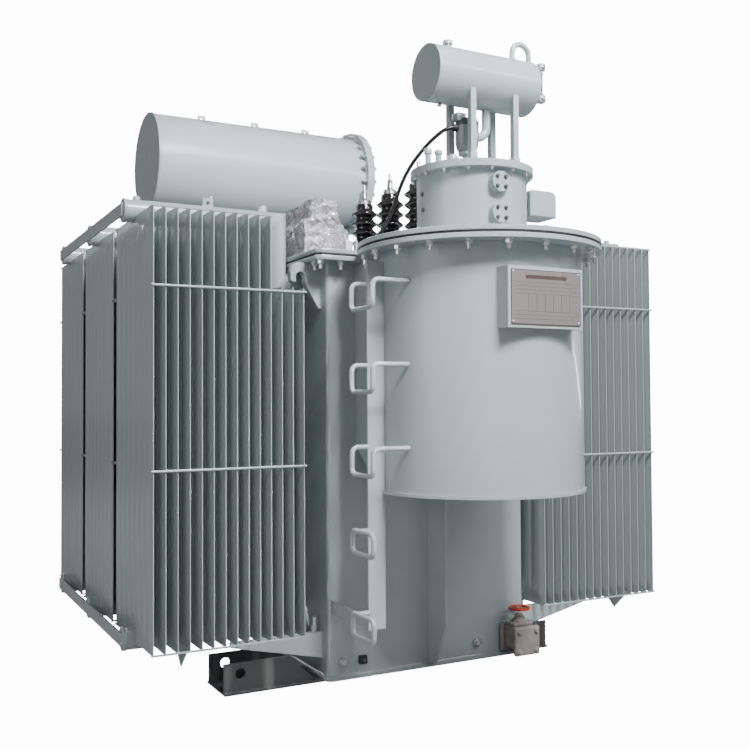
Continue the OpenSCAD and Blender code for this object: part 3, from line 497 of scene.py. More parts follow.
def bar(path: Sequence[Vector], radius: float, sides: int = 12, ripple: float = 0.0) -> bmesh.types.BMesh:
    """A round bar along a path, mitred at each of its points.

    Args:
        path: Points that the bar follows.
        radius: Radius of the bar.
        sides: Sides of its section.
        ripple: Share by which every other ring is narrower, as on a weld bead.

    Returns:
        The closed bar.
    """
    form = bmesh.new()
    points = [Vector(point) for point in path]
    ways = [(end - start).normalized() for start, end in zip(points, points[1:])]
    verts = bmesh.ops.create_circle(form, cap_ends=False, radius=radius, segments=sides)["verts"]
    turn = Vector(UP).rotation_difference(ways[0]).to_matrix().to_4x4()
    bmesh.ops.transform(form, matrix=Matrix.Translation(points[0]) @ turn, verts=verts)
    edges = list({edge for vert in verts for edge in vert.link_edges})
    for index, way in enumerate(ways, start=1):
        grown = bmesh.ops.extrude_edge_only(form, edges=edges)
        ring = set(new_verts(grown))
        edges = [item for item in grown["geom"]
                 if isinstance(item, bmesh.types.BMEdge) and set(item.verts) <= ring]
        plane = (way + ways[index]).normalized() if index < len(ways) else way
        for vert in ring:
            vert.co += way * ((points[index] - vert.co).dot(plane) / way.dot(plane))
        if ripple and index < len(ways):
            share = 1.0 - ripple if index % 2 else 1.0 / (1.0 - ripple)
            bmesh.ops.scale(form, vec=(share,) * 3, space=Matrix.Translation(-points[index]),
                            verts=list(ring))
    bmesh.ops.holes_fill(form, edges=[edge for edge in form.edges if edge.is_boundary], sides=0)
    bmesh.ops.recalc_face_normals(form, faces=form.faces)
    return form


def eased(corners: Sequence[Point], steps: int = 6) -> list[Pair]:
    """An outline whose corners are arcs.

    Args:
        corners: X, Y and arc radius of each corner, in order; radius 0 keeps it sharp.
        steps: Steps in each arc.

    Returns:
        Points of the outline.
    """
    outline = []
    for index, (x, y, radius) in enumerate(corners):
        corner = Vector((x, y))
        if not radius:
            outline.append((x, y))
            continue
        come = (Vector(corners[index - 1][:2]) - corner).normalized()
        go = (Vector(corners[(index + 1) % len(corners)][:2]) - corner).normalized()
        half = come.angle(go) / 2.0
        middle = corner + (come + go).normalized() * (radius / math.sin(half))
        start = corner + come * (radius / math.tan(half)) - middle
        end = corner + go * (radius / math.tan(half)) - middle
        spokes = [start.slerp(end, step / steps).normalized() * radius for step in range(steps + 1)]
        outline += [tuple(middle + spoke) for spoke in spokes]
    return outline


def smooth_path(points: Sequence[Vector], steps: int = 3) -> list[Vector]:
    """A curve through given points.

    Args:
        points: Points of the route.
        steps: New points for each stretch.

    Returns:
        Points of the curve, the given ones among them.
    """
    ends = [2 * points[0] - points[1], *points, 2 * points[-1] - points[-2]]
    curve = []
    for a, b, c, d in zip(ends, ends[1:], ends[2:], ends[3:]):
        for step in range(steps):
            t = step / steps
            curve.append(0.5 * (2 * b + (c - a) * t + (2 * a - 5 * b + 4 * c - d) * t ** 2
                                + (3 * b - a - 3 * c + d) * t ** 3))
    return curve + [points[-1]]


def ring_points(centre: Point, axis: Point, radius: float, count: int, phase: float = 0.0) -> list[Vector]:
    """Points spaced evenly round an axis.

    Args:
        centre: Middle of the ring.
        axis: Direction of the axis.
        radius: Radius of the ring.
        count: Number of points.
        phase: Turn of the first point in degrees.

    Returns:
        The points.
    """
    place = at(centre, axis)
    angles = [math.radians(phase) + math.tau * index / count for index in range(count)]
    return [place @ Vector((radius * math.cos(a), radius * math.sin(a), 0.0)) for a in angles]


def at(point: Point, towards: Point = UP, spin: float = 0.0) -> Matrix:
    """The place of a form whose Z points in a direction.

    Args:
        point: Where its origin goes.
        towards: Where its Z points.
        spin: Turn about its own Z in degrees.

    Returns:
        The matrix.
    """
    turn = Vector(UP).rotation_difference(Vector(towards)).to_matrix().to_4x4()
    return Matrix.Translation(Vector(point)) @ turn @ Matrix.Rotation(math.radians(spin), 4, "Z")


def upright(point: Point, sign: int = 1) -> Matrix:
    """The place of a flat plate that stands on edge.

    Args:
        point: Where its origin goes.
        sign: Where its X points, 1 to the right or -1 to the left.

    Returns:
        The matrix, with the plate's Y up.
    """
    x, y, z = point
    return Matrix(((sign, 0, 0, x), (0, 0, -sign, y), (0, 1, 0, z), (0, 0, 0, 1)))


def bolted(spots: Iterable[Point], towards: Point, turn: float) -> list[Matrix]:
    """Places of bolts that point one way.

    Args:
        spots: Where they sit.
        towards: Where their heads point.
        turn: Degrees by which each is turned further than the one before.

    Returns:
        Their places.
    """
    return [at(spot, towards, turn * index) for index, spot in enumerate(spots)]


@dataclass(frozen=True)
class HexBolt:
    """A hexagon head or nut on a washer, with the end of its thread if that shows."""

    across: float
    height: float
    washer: float
    thread: float = 0.0
    washer_t: float = 0.003

    @functools.cache
    def form(self) -> bpy.types.Mesh:
        """The bolt as a mesh on z 0, made once."""
        form = bmesh.new()
        self.disc(form, 14, self.washer, 0.0, self.washer_t)
        head = self.disc(form, 6, self.across / math.sqrt(3.0), self.washer_t, self.height)
        top = self.washer_t + self.height - MERGE
        rim = {edge for vert in head for edge in vert.link_edges if min(v.co.z for v in edge.verts) > top}
        bmesh.ops.bevel(form, geom=list(rim), offset=0.12 * self.across, offset_type="OFFSET",
                        affect="EDGES", segments=1, profile=0.5, material=-1)
        if self.thread:
            self.disc(form, 8, 0.31 * self.across, self.washer_t + self.height, self.thread)
        mesh = bpy.data.meshes.new("bolt_form")
        form.to_mesh(mesh)
        form.free()
        return mesh

    @staticmethod
    def disc(form: bmesh.types.BMesh, sides: int, radius: float, low: float,
             height: float) -> list[bmesh.types.BMVert]:
        """Adds a straight prism.

        Args:
            form: Where it goes.
            sides: Sides of the prism.
            radius: Radius to its corners.
            low: Height of its lower face.
            height: Its own height.

        Returns:
            The prism's vertices.
        """
        made = bmesh.ops.create_cone(form, cap_ends=True, cap_tris=False, segments=sides,
                                     radius1=radius, radius2=radius, depth=height)["verts"]
        bmesh.ops.translate(form, vec=(0, 0, low + height / 2.0), verts=made)
        return made


M16_NUT = HexBolt(0.024, 0.014, 0.0160, thread=0.017)
M16_LOW = HexBolt(0.024, 0.0045, 0.0150, washer_t=0.001)
M16_HEAD = HexBolt(0.024, 0.010, 0.015)
M12_HEAD = HexBolt(0.019, 0.008, 0.012)
M10_NUT = HexBolt(0.015, 0.007, 0.009, thread=0.004, washer_t=0.0016)
M8_HEAD = HexBolt(0.013, 0.0055, 0.008, washer_t=0.0016)
M8_LOW = HexBolt(0.013, 0.002, 0.008, washer_t=0.0008)


class Piece:
    """One named piece of the object, gathered from its forms."""

    def __init__(self, name: str, *finishes: Finish) -> None:
        """Starts an empty piece.

        Args:
            name: The piece's name.
            finishes: Its finishes; the first is the one its forms take unless told otherwise.
        """
        self.name = name
        self.finishes = finishes
        self.mesh = bmesh.new()

    def add(self, form: bmesh.types.BMesh, place: Matrix | None = None, finish: Finish | None = None) -> None:
        """Takes a form into the piece.

        Args:
            form: The form, which is used up.
            place: Where it goes.
            finish: Its finish, if it isn't the first.
        """
        index = self.finishes.index(finish) if finish else 0
        for face in form.faces:
            face.material_index = index
            face.smooth = True
        mesh = bpy.data.meshes.new("form")
        form.to_mesh(mesh)
        form.free()
        if place:
            mesh.transform(place)
        self.mesh.from_mesh(mesh)
        bpy.data.meshes.remove(mesh)

    def stamp(self, form: bpy.types.Mesh, places: Iterable[Matrix], finish: Finish | None = None) -> None:
        """Repeats a small form, such as a bolt.

        Args:
            form: The form as a mesh.
            places: Where its copies go.
            finish: Their finish, if it isn't the first.
        """
        index = self.finishes.index(finish) if finish else 0
        for place in places:
            copy = form.copy()
            copy.transform(place)
            copy.polygons.foreach_set("material_index", [index] * len(copy.polygons))
            self.mesh.from_mesh(copy)
            bpy.data.meshes.remove(copy)

    def settle(self, body: str = MAIN_BODY, replaces: Sequence[str] = ()) -> bpy.types.Object:
        """Makes the piece an object that rides on a body.

        Args:
            body: The body.
            replaces: Frame nodes that the piece stands for.

        Returns:
            The object.
        """
        mesh = bpy.data.meshes.new(self.name)
        self.mesh.to_mesh(mesh)
        self.mesh.free()
        mesh.set_sharp_from_angle(angle=SHARP_ANGLE)
        for finish in self.finishes:
            mesh.materials.append(finish.material())
        piece = bpy.data.objects.new(self.name, mesh)
        bpy.context.scene.collection.objects.link(piece)
        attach(piece, body)
        if replaces:
            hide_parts(*replaces)
        LOG.info("%s: %d faces", self.name, len(mesh.polygons))
        return piece


def dress(finish: Finish, *nodes: str) -> None:
    """Gives frame nodes a finish."""
    for node in nodes:
        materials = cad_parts[node].data.materials
        materials.clear()
        materials.append(finish.material())
        LOG.info("%s: %s", node, finish.name)


# Studio


@dataclass(frozen=True)
class Lamp:
    """A soft rectangular light that the camera doesn't see."""

    name: str
    place: Point
    aim: Point
    size: Pair
    power: float
    spread: float = 180.0

    def hang(self) -> None:
        """Hangs the lamp so that it faces its aim."""
        data = bpy.data.lights.new(self.name, "AREA")
        data.shape = "RECTANGLE"
        data.size, data.size_y = self.size
        data.energy = self.power
        data.spread = math.radians(self.spread)
        light = bpy.data.objects.new(self.name, data)
        light.matrix_world = at(self.place, Vector(self.place) - Vector(self.aim))
        light.visible_camera = False
        bpy.context.scene.collection.objects.link(light)


@dataclass
class Studio:
    """Camera, lights and floor."""

    lens: float = 46.07
    place: Point = (-2.074, -4.314, 1.100)
    yaw: float = 27.88
    pitch: float = 1.53
    roll: float = 0.32
    key: Lamp = Lamp("key", (0.1, -4.4, 5.2), (0.0, -0.6, 1.4), (1.1, 1.1), 520.0)
    wash: Lamp = Lamp("left_wash", (-0.9, -5.0, 5.0), (-0.46, -0.9, 0.8), (0.5, 0.5), 3.0, 18.0)
    side: Lamp = Lamp("left_soft", (-6.0, -2.0, 2.6), (-0.6, 0.0, 1.6), (3.0, 3.0), 60.0)
    upper: Lamp = Lamp("upper_strip", (2.4, -5.6, 4.9), (0.0, -0.2, 2.4), (5.0, 0.14), 160.0)
    rear: Lamp = Lamp("rear", (0.8, 7.5, 4.8), (0.0, 0.0, 1.3), (3.0, 3.0), 480.0)
    crown: Lamp = Lamp("crown", (-0.4, -7.0, 4.6), (0.0, 1.0, 2.75), (2.0, 0.6), 20.0, 24.0)
    strips: tuple[Lamp, Lamp] = (
        Lamp("left_strip", (-2.78, -7.0, 1.35), (0.0, -1.6, 1.35), (0.08, 2.6), 14.0),
        Lamp("right_strip", (6.0, -0.2, 1.35), (0.0, -1.6, 1.35), (0.08, 2.6), 14.0),
    )
    sensor: float = 36.0
    far: float = 200.0
    sky_tint: tuple[float, float, float, float] = (0.93, 0.97, 1.0, 1.0)
    sky_power: float = 0.25
    sky_seen: float = 14.0
    floor_reach: float = 60.0
    floor_glow: float = 13.2
    floor_tones: Pair = (0.26, 0.29)

    def build(self) -> None:
        """Sets up the whole studio."""
        self.camera()
        self.lights()
        self.floor()

    def camera(self) -> None:
        """Places the camera as the photograph's stood."""
        yaw, pitch, roll = (math.radians(angle) for angle in (self.yaw, self.pitch, self.roll))
        ahead = Vector((math.sin(yaw) * math.cos(pitch), math.cos(yaw) * math.cos(pitch), math.sin(pitch)))
        level = Vector((math.cos(yaw), -math.sin(yaw), 0.0))
        under = ahead.cross(level)
        right = math.cos(roll) * level + math.sin(roll) * under
        down = math.cos(roll) * under - math.sin(roll) * level
        data = bpy.data.cameras.new("camera")
        data.lens = self.lens
        data.sensor_width = self.sensor
        data.clip_end = self.far
        camera = bpy.data.objects.new("camera", data)
        turn = Matrix((right, -down, -ahead)).transposed().to_4x4()
        camera.matrix_world = Matrix.Translation(self.place) @ turn
        bpy.context.scene.collection.objects.link(camera)
        bpy.context.scene.camera = camera

    def lights(self) -> None:
        """Hangs the lamps and makes the surroundings white."""
        for lamp in (self.key, self.wash, self.side, self.upper, self.rear, self.crown, *self.strips):
            lamp.hang()
        world = bpy.data.worlds.new("white_studio")
        world.use_nodes = True
        tree = world.node_tree
        seen = tree.nodes.new("ShaderNodeBackground")
        ray = tree.nodes.new("ShaderNodeLightPath")
        choice = tree.nodes.new("ShaderNodeMixShader")
        glow = tree.nodes["Background"]
        glow.inputs["Color"].default_value = self.sky_tint
        glow.inputs["Strength"].default_value = self.sky_power
        seen.inputs["Color"].default_value = (1.0, 1.0, 1.0, 1.0)
        seen.inputs["Strength"].default_value = self.sky_seen
        tree.links.new(ray.outputs["Is Camera Ray"], choice.inputs[0])
        tree.links.new(glow.outputs[0], choice.inputs[1])
        tree.links.new(seen.outputs[0], choice.inputs[2])
        tree.links.new(choice.outputs[0], tree.nodes["World Output"].inputs["Surface"])
        bpy.context.scene.world = world

    def floor(self) -> None:
        """Lays the plain pale floor."""
        form = bmesh.new()
        bmesh.ops.create_grid(form, x_segments=1, y_segments=1, size=self.floor_reach)
        mesh = bpy.data.meshes.new("floor")
        form.to_mesh(mesh)
        form.free()
        bench = NodeBench("pale_floor")
        low, high = self.floor_tones
        bench.link(bench.blend(bench.grain(0.6), (low, low, low), (high, high, high)), "Base Color")
        bench.fix({"Roughness": 0.9, "Emission Color": (1.0, 1.0, 1.0, 1.0)})
        ray = bench.tree.nodes.new("ShaderNodeLightPath").outputs["Is Camera Ray"]
        bench.link(bench.spread(ray, 0.0, 1.0, 0.0, self.floor_glow), "Emission Strength")
        mesh.materials.append(bench.material)
        floor = bpy.data.objects.new("floor", mesh)
        bpy.context.scene.collection.objects.link(floor)


# Cable


@dataclass
class RelayCable:
    """Cable from the gas relay to the terminal box on the cover, in millimetres from the head's foot."""

    radius: float = 0.008
    route: tuple[Point, ...] = (
        (-101.4, -55, 440), (-116, -55, 440), (-133, -51.5, 436.5), (-150, -43.5, 428.5), (-167, -29.5, 414),
        (-185.6, -9.9, 393.3), (-203.8, 14.5, 367.2), (-219.1, 41.6, 338.5), (-231.2, 68.8, 308.6),
        (-240.6, 93.6, 277.3), (-247.7, 114.9, 244.2), (-253.6, 132.9, 209), (-259.4, 148.9, 172.8),
        (-266.5, 164.7, 137.2), (-275.5, 182.3, 104.2), (-286.9, 202.7, 75.5), (-300.6, 226, 52.7),
        (-315.9, 250.5, 36.8), (-332.3, 273.4, 27.4), (-348, 291, 23.5), (-363.6, 303, 22),
    )

    def build(self) -> None:
        low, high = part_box("head_cover")
        foot = Vector(((low.x + high.x) / 2.0, (low.y + high.y) / 2.0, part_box("cover_plate")[1].z))
        path = smooth_path([foot + Vector(point) / 1000.0 for point in self.route])
        piece = Piece("relay_cable_sheath", SHEATH)
        piece.add(bar(path, self.radius, sides=14))
        cable = piece.settle(replaces=["relay_cable"])


# Tank


@dataclass
class TankWork:
    """Tank, cover and skids: enamel, rim bolts, weld beads and the fittings low on the front wall."""

    shell_r: float = 0.013
    rim_chamfer: float = 0.020
    rim_steps: int = 80
    rim_edge: float = 0.0015
    gasket_inset: float = 0.002
    bolt_inset: float = 0.026
    side_bolts: int = 17
    side_reach: float = 0.860
    end_bolts: int = 9
    end_reach: float = 0.440
    front_bolt_x: float = 0.428
    pocket_bolt_step: float = 18.0
    pocket_first: float = -218.0
    pocket_bolts: int = 15
    pocket_bolt_inset: float = 0.027
    bead: float = 0.0045
    bead_step: float = 0.011
    corner_clear: float = 0.04
    bracket_t: float = 0.020
    post_r: float = 0.016
    post_h: float = 0.062
    post_out: float = 0.032
    plug_r: float = 0.018
    plug_hex: float = 0.0135
    pad_x: float = -0.321
    pad_half: float = 0.017
    pad_back: float = 0.004
    hook_t: float = 0.030
    hook_crown: float = 0.038
    hook_shoulder: float = 0.040
    hook_notch: float = 0.018
    hook_nose_w: float = 0.023
    hook_nose_h: float = 0.079
    hook_tail: float = 0.012

    def build(self) -> None:
        """Dresses the tank and adds its bolts, beads and fittings."""
        dress(TANK_ENAMEL, "base_plate", "tap_changer_pocket", "pocket_bottom", "pocket_rib",
              "radiator_brackets", "ladder_stringer", "ladder_rungs", "nameplate_box")
        dress(SKID_ENAMEL, "base_skids")
        self.shell()
        self.rim()
        self.rim_bolts()
        self.beads()
        self.bracket_posts()
        self.wall_plugs()
        self.hooks()

    def shell(self) -> None:
        """Tank wall with its upright corners."""
        low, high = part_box("tank")
        r = self.shell_r
        outline = eased([(low.x, low.y, r), (high.x, low.y, r), (high.x, high.y, r), (low.x, high.y, r)])
        piece = Piece("tank_shell", TANK_ENAMEL)
        piece.add(cut_plate(outline, high.z - low.z), at((0.0, 0.0, low.z)))
        piece.settle(replaces=["tank"])

    def rim(self) -> None:
        """Flange, gasket and cover on one keyhole outline."""
        for name, node, finish, inset in (("rim_flange", "tank_flange", TANK_ENAMEL, 0.0),
                                          ("rim_gasket", "cover_gasket", GASKET, self.gasket_inset),
                                          ("rim_cover", "cover_plate", TANK_ENAMEL, 0.0)):
            low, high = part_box(node)
            piece = Piece(name, finish)
            edge = 0.0 if inset else self.rim_edge
            piece.add(cut_plate(self.keyhole(inset), high.z - low.z, edge), at((0.0, 0.0, low.z)))
            piece.settle(replaces=[node])

    def keyhole(self, inset: float) -> list[Pair]:
        """Outline of the tank's rim with the pocket's round rim before it.

        Args:
            inset: Distance inside the flange's edge.

        Returns:
            Points of the outline.
        """
        low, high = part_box("tank_flange")
        pocket_low, pocket_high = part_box("tap_changer_pocket")
        middle = pocket_low.y + pocket_high.x
        radius = middle - low.y - inset
        x, y, c = high.x - inset, high.y - inset, self.rim_chamfer
        outline = [(x - c, -y), (x, c - y), (x, y - c), (x - c, y),
                   (c - x, y), (-x, y - c), (-x, c - y), (c - x, -y)]
        start = math.pi - math.asin((-y - middle) / radius)
        span = 3.0 * math.pi - 2.0 * start
        for index in range(self.rim_steps + 1):
            angle = start + span * index / self.rim_steps
            outline.append((radius * math.cos(angle), middle + radius * math.sin(angle)))
        return outline

    def bolt_line(self) -> list[Pair]:
        """Places of the rim bolts on the keyhole outline.

        Returns:
            X and Y of each bolt.
        """
        low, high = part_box("tank_flange")
        x, rear = high.x - self.bolt_inset, high.y - self.bolt_inset
        spots = []
        for index in range(self.side_bolts):
            y = self.side_reach * (2.0 * index / (self.side_bolts - 1) - 1.0)
            spots += [(-x, y), (x, y)]
        for index in range(self.end_bolts):
            spots.append((self.end_reach * (2.0 * index / (self.end_bolts - 1) - 1.0), rear))
        for sign in (-1, 1):
            spots += [(sign * x, rear), (sign * x, -rear), (sign * self.front_bolt_x, -rear)]
        pocket_low, pocket_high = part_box("tap_changer_pocket")
        middle = pocket_low.y + pocket_high.x
        radius = middle - low.y - self.pocket_bolt_inset
        for index in range(self.pocket_bolts):
            angle = math.radians(self.pocket_first + index * self.pocket_bolt_step)
            spots.append((radius * math.cos(angle), middle + radius * math.sin(angle)))
        return spots

    def rim_bolts(self) -> None:
        """Heads on the cover and nuts under the flange."""
        top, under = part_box("cover_plate")[1].z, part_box("tank_flange")[0].z
        spots = self.bolt_line()
        piece = Piece("cover_bolts", BRIGHT_ZINC)
        piece.stamp(M16_LOW.form(), bolted([(x, y, top) for x, y in spots], UP, 17.0))
        piece.stamp(M16_NUT.form(), bolted([(x, y, under) for x, y in spots], DOWN, 23.0))
        piece.settle()

    def bead_path(self, start: Point, end: Point) -> list[Vector]:
        """Points of a straight bead.

        Args:
            start: Its start.
            end: Its end.

        Returns:
            Points a bead's step apart.
        """
        first, last = Vector(start), Vector(end)
        count = max(2, round((last - first).length / self.bead_step))
        return [first.lerp(last, index / count) for index in range(count + 1)]

    def beads(self) -> None:
        """Weld beads along the rib, the base plate, the hooks and the brackets."""
        piece = Piece("weld_beads", TANK_ENAMEL)
        low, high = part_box("tank")
        rib_low, rib_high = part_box("pocket_rib")
        runs = [((x, low.y, rib_low.z), (x, low.y, rib_high.z)) for x in (rib_low.x, rib_high.x)]
        clear = self.corner_clear
        runs += [((low.x + clear, y, low.z), (high.x - clear, y, low.z)) for y in (low.y, high.y)]
        runs += [((x, low.y + clear, low.z), (x, high.y - clear, low.z)) for x in (low.x, high.x)]
        for node, thick in (("lifting_hooks", self.hook_t), ("radiator_brackets", self.bracket_t)):
            box_low, box_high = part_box(node)
            for x in (low.x, high.x):
                for y in (box_low.y, box_low.y + thick, box_high.y - thick, box_high.y):
                    runs.append(((x, y, box_low.z), (x, y, box_high.z)))
        for start, end in runs:
            piece.add(bar(self.bead_path(start, end), self.bead, sides=6, ripple=0.10))
        piece.settle()

    def bracket_posts(self) -> None:
        """Set screws that stand on the brackets beside the tank."""
        low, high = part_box("radiator_brackets")
        piece = Piece("bracket_screws", ZINC)
        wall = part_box("tank")[1].x + self.post_out
        for x in (-wall, wall):
            for y in (low.y + self.bracket_t / 2.0, high.y - self.bracket_t / 2.0):
                piece.add(drum(self.post_r, self.post_h, 0.003, 20), at((x, y, high.z)))
        piece.settle()

    def wall_plugs(self) -> None:
        """Screwed plugs and the earth pad low on the front wall."""
        low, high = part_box("front_plugs")
        front, wall, z = low.y, high.y, (low.z + high.z) / 2.0
        out = wall - front
        piece = Piece("wall_plugs", ZINC, GASKET, DARK_STEEL)
        for x in (low.x + self.plug_r, high.x - self.plug_r):
            piece.add(drum(self.plug_r, 0.45 * out, 0.002, 24), at((x, wall, z), FORWARD))
            piece.add(drum(self.plug_hex, 0.55 * out, 0.0015, 6),
                      at((x, wall - 0.45 * out, z), FORWARD, 12.0))
        half, face = self.pad_half, front + self.pad_back
        pad = slab((self.pad_x - half, face, z - half), (self.pad_x + half, wall, z + half), 0.003)
        piece.add(pad, finish=GASKET)
        piece.stamp(M8_HEAD.form(), [at((self.pad_x, face, z), FORWARD)], finish=DARK_STEEL)
        piece.settle(replaces=["front_plugs"])

    def hooks(self) -> None:
        """Four hook plates under the flange, each with a round notch behind its nose."""
        low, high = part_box("lifting_hooks")
        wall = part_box("tank")[1].x
        reach, drop = high.x - wall, high.z - low.z + self.hook_tail
        nose = reach - self.hook_nose_w
        back = nose - 2.0 * self.hook_notch
        outline = eased([
            (-0.002, 0.0, 0.0), (reach, 0.0, self.hook_shoulder), (reach, -self.hook_nose_h, 0.010),
            (nose, -self.hook_nose_h, 0.004), (nose, -self.hook_crown, 0.98 * self.hook_notch),
            (back, -self.hook_crown, 0.98 * self.hook_notch), (back, -self.hook_nose_h, 0.030),
            (self.hook_tail, -drop, self.hook_tail), (-0.002, -drop, 0.0)])
        piece = Piece("hook_plates", TANK_ENAMEL)
        for side in Side:
            for y in (low.y + self.hook_t / 2.0, high.y - self.hook_t / 2.0):
                sign = side.value
                stand = upright((sign * wall, y + sign * self.hook_t / 2.0, high.z), sign)
                piece.add(cut_plate(outline, self.hook_t, 0.002), stand)
        piece.settle(replaces=["lifting_hooks"])


@dataclass
class Nameplate:
    """Rating plate on its box, ruled as a table and with nothing written in it."""

    rivet_r: float = 0.0046
    rivet_inset: float = 0.008
    border: float = 0.0022
    rule: float = 0.0011
    ink_t: float = 0.0004
    side_share: float = 0.045
    band_share: float = 0.16
    band: Pair = (0.095, 0.165)
    rows: tuple[float, ...] = (0.23, 0.30, 0.37, 0.44, 0.76, 0.83, 0.90)
    columns: tuple[float, ...] = (0.24, 0.36, 0.48, 0.60, 0.72, 0.84)

    def build(self) -> None:
        """Builds the plate with its rules and rivets."""
        low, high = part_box("nameplate")
        piece = Piece("rating_plate", PLATE, INK, ZINC)
        piece.add(slab(low, high, 0.001, 1))
        width, height = high.x - low.x, high.z - low.z
        left, right = low.x + self.side_share * width, high.x - self.side_share * width
        short = self.band_share * width
        self.ink(piece, left + short, high.z - self.band[1] * height, right - short,
                 high.z - self.band[0] * height)
        for share in self.rows:
            z = high.z - share * height
            self.ink(piece, left, z - self.rule / 2.0, right, z + self.rule / 2.0)
        top, foot = (high.z - share * height for share in self.rows[3:5])
        for share in self.columns:
            x = low.x + share * width
            self.ink(piece, x - self.rule / 2.0, foot, x + self.rule / 2.0, top)
        for x in (low.x, high.x - self.border):
            self.ink(piece, x, low.z, x + self.border, high.z)
        for z in (low.z, high.z - self.border):
            self.ink(piece, low.x, z, high.x, z + self.border)
        head = [(0, -0.001), (self.rivet_r, -0.001), (self.rivet_r, 0.0006), (0.7 * self.rivet_r, 0.0020),
                (0, 0.0026)]
        for x in (low.x + self.rivet_inset, high.x - self.rivet_inset):
            for z in (low.z + self.rivet_inset, high.z - self.rivet_inset):
                piece.add(turned(head, 14), at((x, low.y, z), FORWARD), ZINC)
        piece.settle(replaces=["nameplate"])

    def ink(self, piece: Piece, left: float, foot: float, right: float, top: float) -> None:
        """Adds one etched and filled mark.

        Args:
            piece: The plate.
            left: Its lowest X.
            foot: Its lowest Z.
            right: Its highest X.
            top: Its highest Z.
        """
        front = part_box("nameplate")[0].y
        piece.add(slab((left, front - self.ink_t, foot), (right, front + self.ink_t, top)), finish=INK)


# Drain valve


@dataclass
class DrainValve:
    """Cast valve with square end flanges, a bolted bonnet and a red handwheel."""

    flange_t: float = 0.022
    flange_edge: float = 0.009
    waist: float = 0.015
    waist_end: float = 0.01
    waist_edge: float = 0.022
    bolt_inset: float = 0.020
    wheel_r: float = 0.042
    rim_r: float = 0.006
    hub_r: float = 0.013
    stem_r: float = 0.0068
    spokes: int = 4
    spoke_r: float = 0.0042
    spoke_start: float = 0.008
    spoke_bend: float = 0.022
    spoke_dip: float = 0.0015
    nut_r: float = 0.0085
    nut_h: float = 0.005
    nut_sunk: float = 0.0055
    bore_gap: float = 0.0006
    lid_drop: float = 0.012
    lid_bolts: Pair = (0.041, 0.023)
    bonnet_flanges: tuple[tuple[float, float, float, float], ...] = (
        (0.052, 0.034, 0.030, 0.015), (0.050, 0.032, 0.014, 0.0))

    def build(self) -> None:
        """Builds the standing casting and the wheel that turns."""
        self.casting()
        self.wheel()

    def casting(self) -> None:
        """Body, flanges and bonnet."""
        low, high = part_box("drain_valve_body")
        bonnet_low, bonnet_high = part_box("drain_valve_bonnet")
        mid = (bonnet_low + bonnet_high) / 2.0
        inner = Vector((self.waist, 0.0, self.waist))
        piece = Piece("drain_valve_casting", VALVE_CASTING, ZINC)
        for y in (low.y, high.y - self.flange_t):
            far = (high.x, y + self.flange_t, high.z - self.lid_drop)
            piece.add(slab((low.x, y, low.z), far, self.flange_edge, 3))
        waist_low = Vector((low.x, low.y + self.waist_end, low.z)) + inner
        waist_high = Vector((high.x, high.y - self.waist_end, high.z)) - inner
        piece.add(slab(waist_low, waist_high, self.waist_edge, 4))
        for half_x, half_y, foot, crown in self.bonnet_flanges:
            piece.add(slab((mid.x - half_x, mid.y - half_y, high.z - foot),
                           (mid.x + half_x, mid.y + half_y, high.z - crown), 0.004))
        top = bonnet_high.z - bonnet_low.z
        bore = self.stem_r + self.bore_gap
        neck = [(0, -0.002), (0.034, -0.002), (0.032, 0.008), (0.0225, 0.013), (0.0215, top - 0.012),
                (0.0165, top - 0.010), (0.0150, top), (bore, top), (bore, top - 0.003), (0, top - 0.003)]
        piece.add(turned(neck, 28), at((mid.x, mid.y, bonnet_low.z)))
        corners = [(x, z) for x in (low.x + self.bolt_inset, high.x - self.bolt_inset)
                   for z in (low.z + self.bolt_inset, high.z - self.lid_drop - self.bolt_inset)]
        dome = [(0, 0), (0.0125, 0), (0.0120, 0.004), (0.0080, 0.0085), (0, 0.0100)]
        for x, z in corners:
            piece.add(turned(dome, 18), at((x, low.y, z), FORWARD))
        across, along = self.lid_bolts
        lids = [(mid.x + sx * across, mid.y + sy * along) for sx in (-1, 1) for sy in (-1, 1)]
        piece.stamp(M8_HEAD.form(), [at((x, y, high.z)) for x, y in lids], ZINC)
        piece.settle(replaces=["drain_valve_body", "drain_valve_bonnet"])

    def wheel(self) -> None:
        """Wheel, stem and nut, which turn together."""
        low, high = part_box("drain_handwheel")
        x, y = (low.x + high.x) / 2.0, (low.y + high.y) / 2.0
        z = high.z - self.rim_r
        piece = Piece("valve_handwheel", RED_ENAMEL, BRASS, ZINC)
        piece.add(hoop(self.wheel_r, self.rim_r, 12, 48), at((x, y, z)))
        middle, dip = Vector((x, y, z)), Vector((0, 0, -self.spoke_dip))
        for index in range(self.spokes):
            angle = math.tau * index / self.spokes + math.pi / 4.0
            way = Vector((math.cos(angle), math.sin(angle), 0.0))
            path = [middle + way * self.spoke_start, middle + way * self.spoke_bend + dip,
                    middle + way * self.wheel_r]
            piece.add(bar(path, self.spoke_r, sides=10), finish=BRASS)
        piece.add(drum(self.hub_r, 2 * self.rim_r, 0.002, 24), at((x, y, z - self.rim_r)), BRASS)
        piece.add(drum(self.stem_r, z - low.z, 0.0, 16), at((x, y, low.z)), ZINC)
        piece.add(drum(self.nut_r, self.nut_h, 0.001, 6), at((x, y, high.z - self.nut_sunk)), ZINC)
        piece.settle(WHEEL_BODY, ["drain_handwheel"])


# Tap changer head


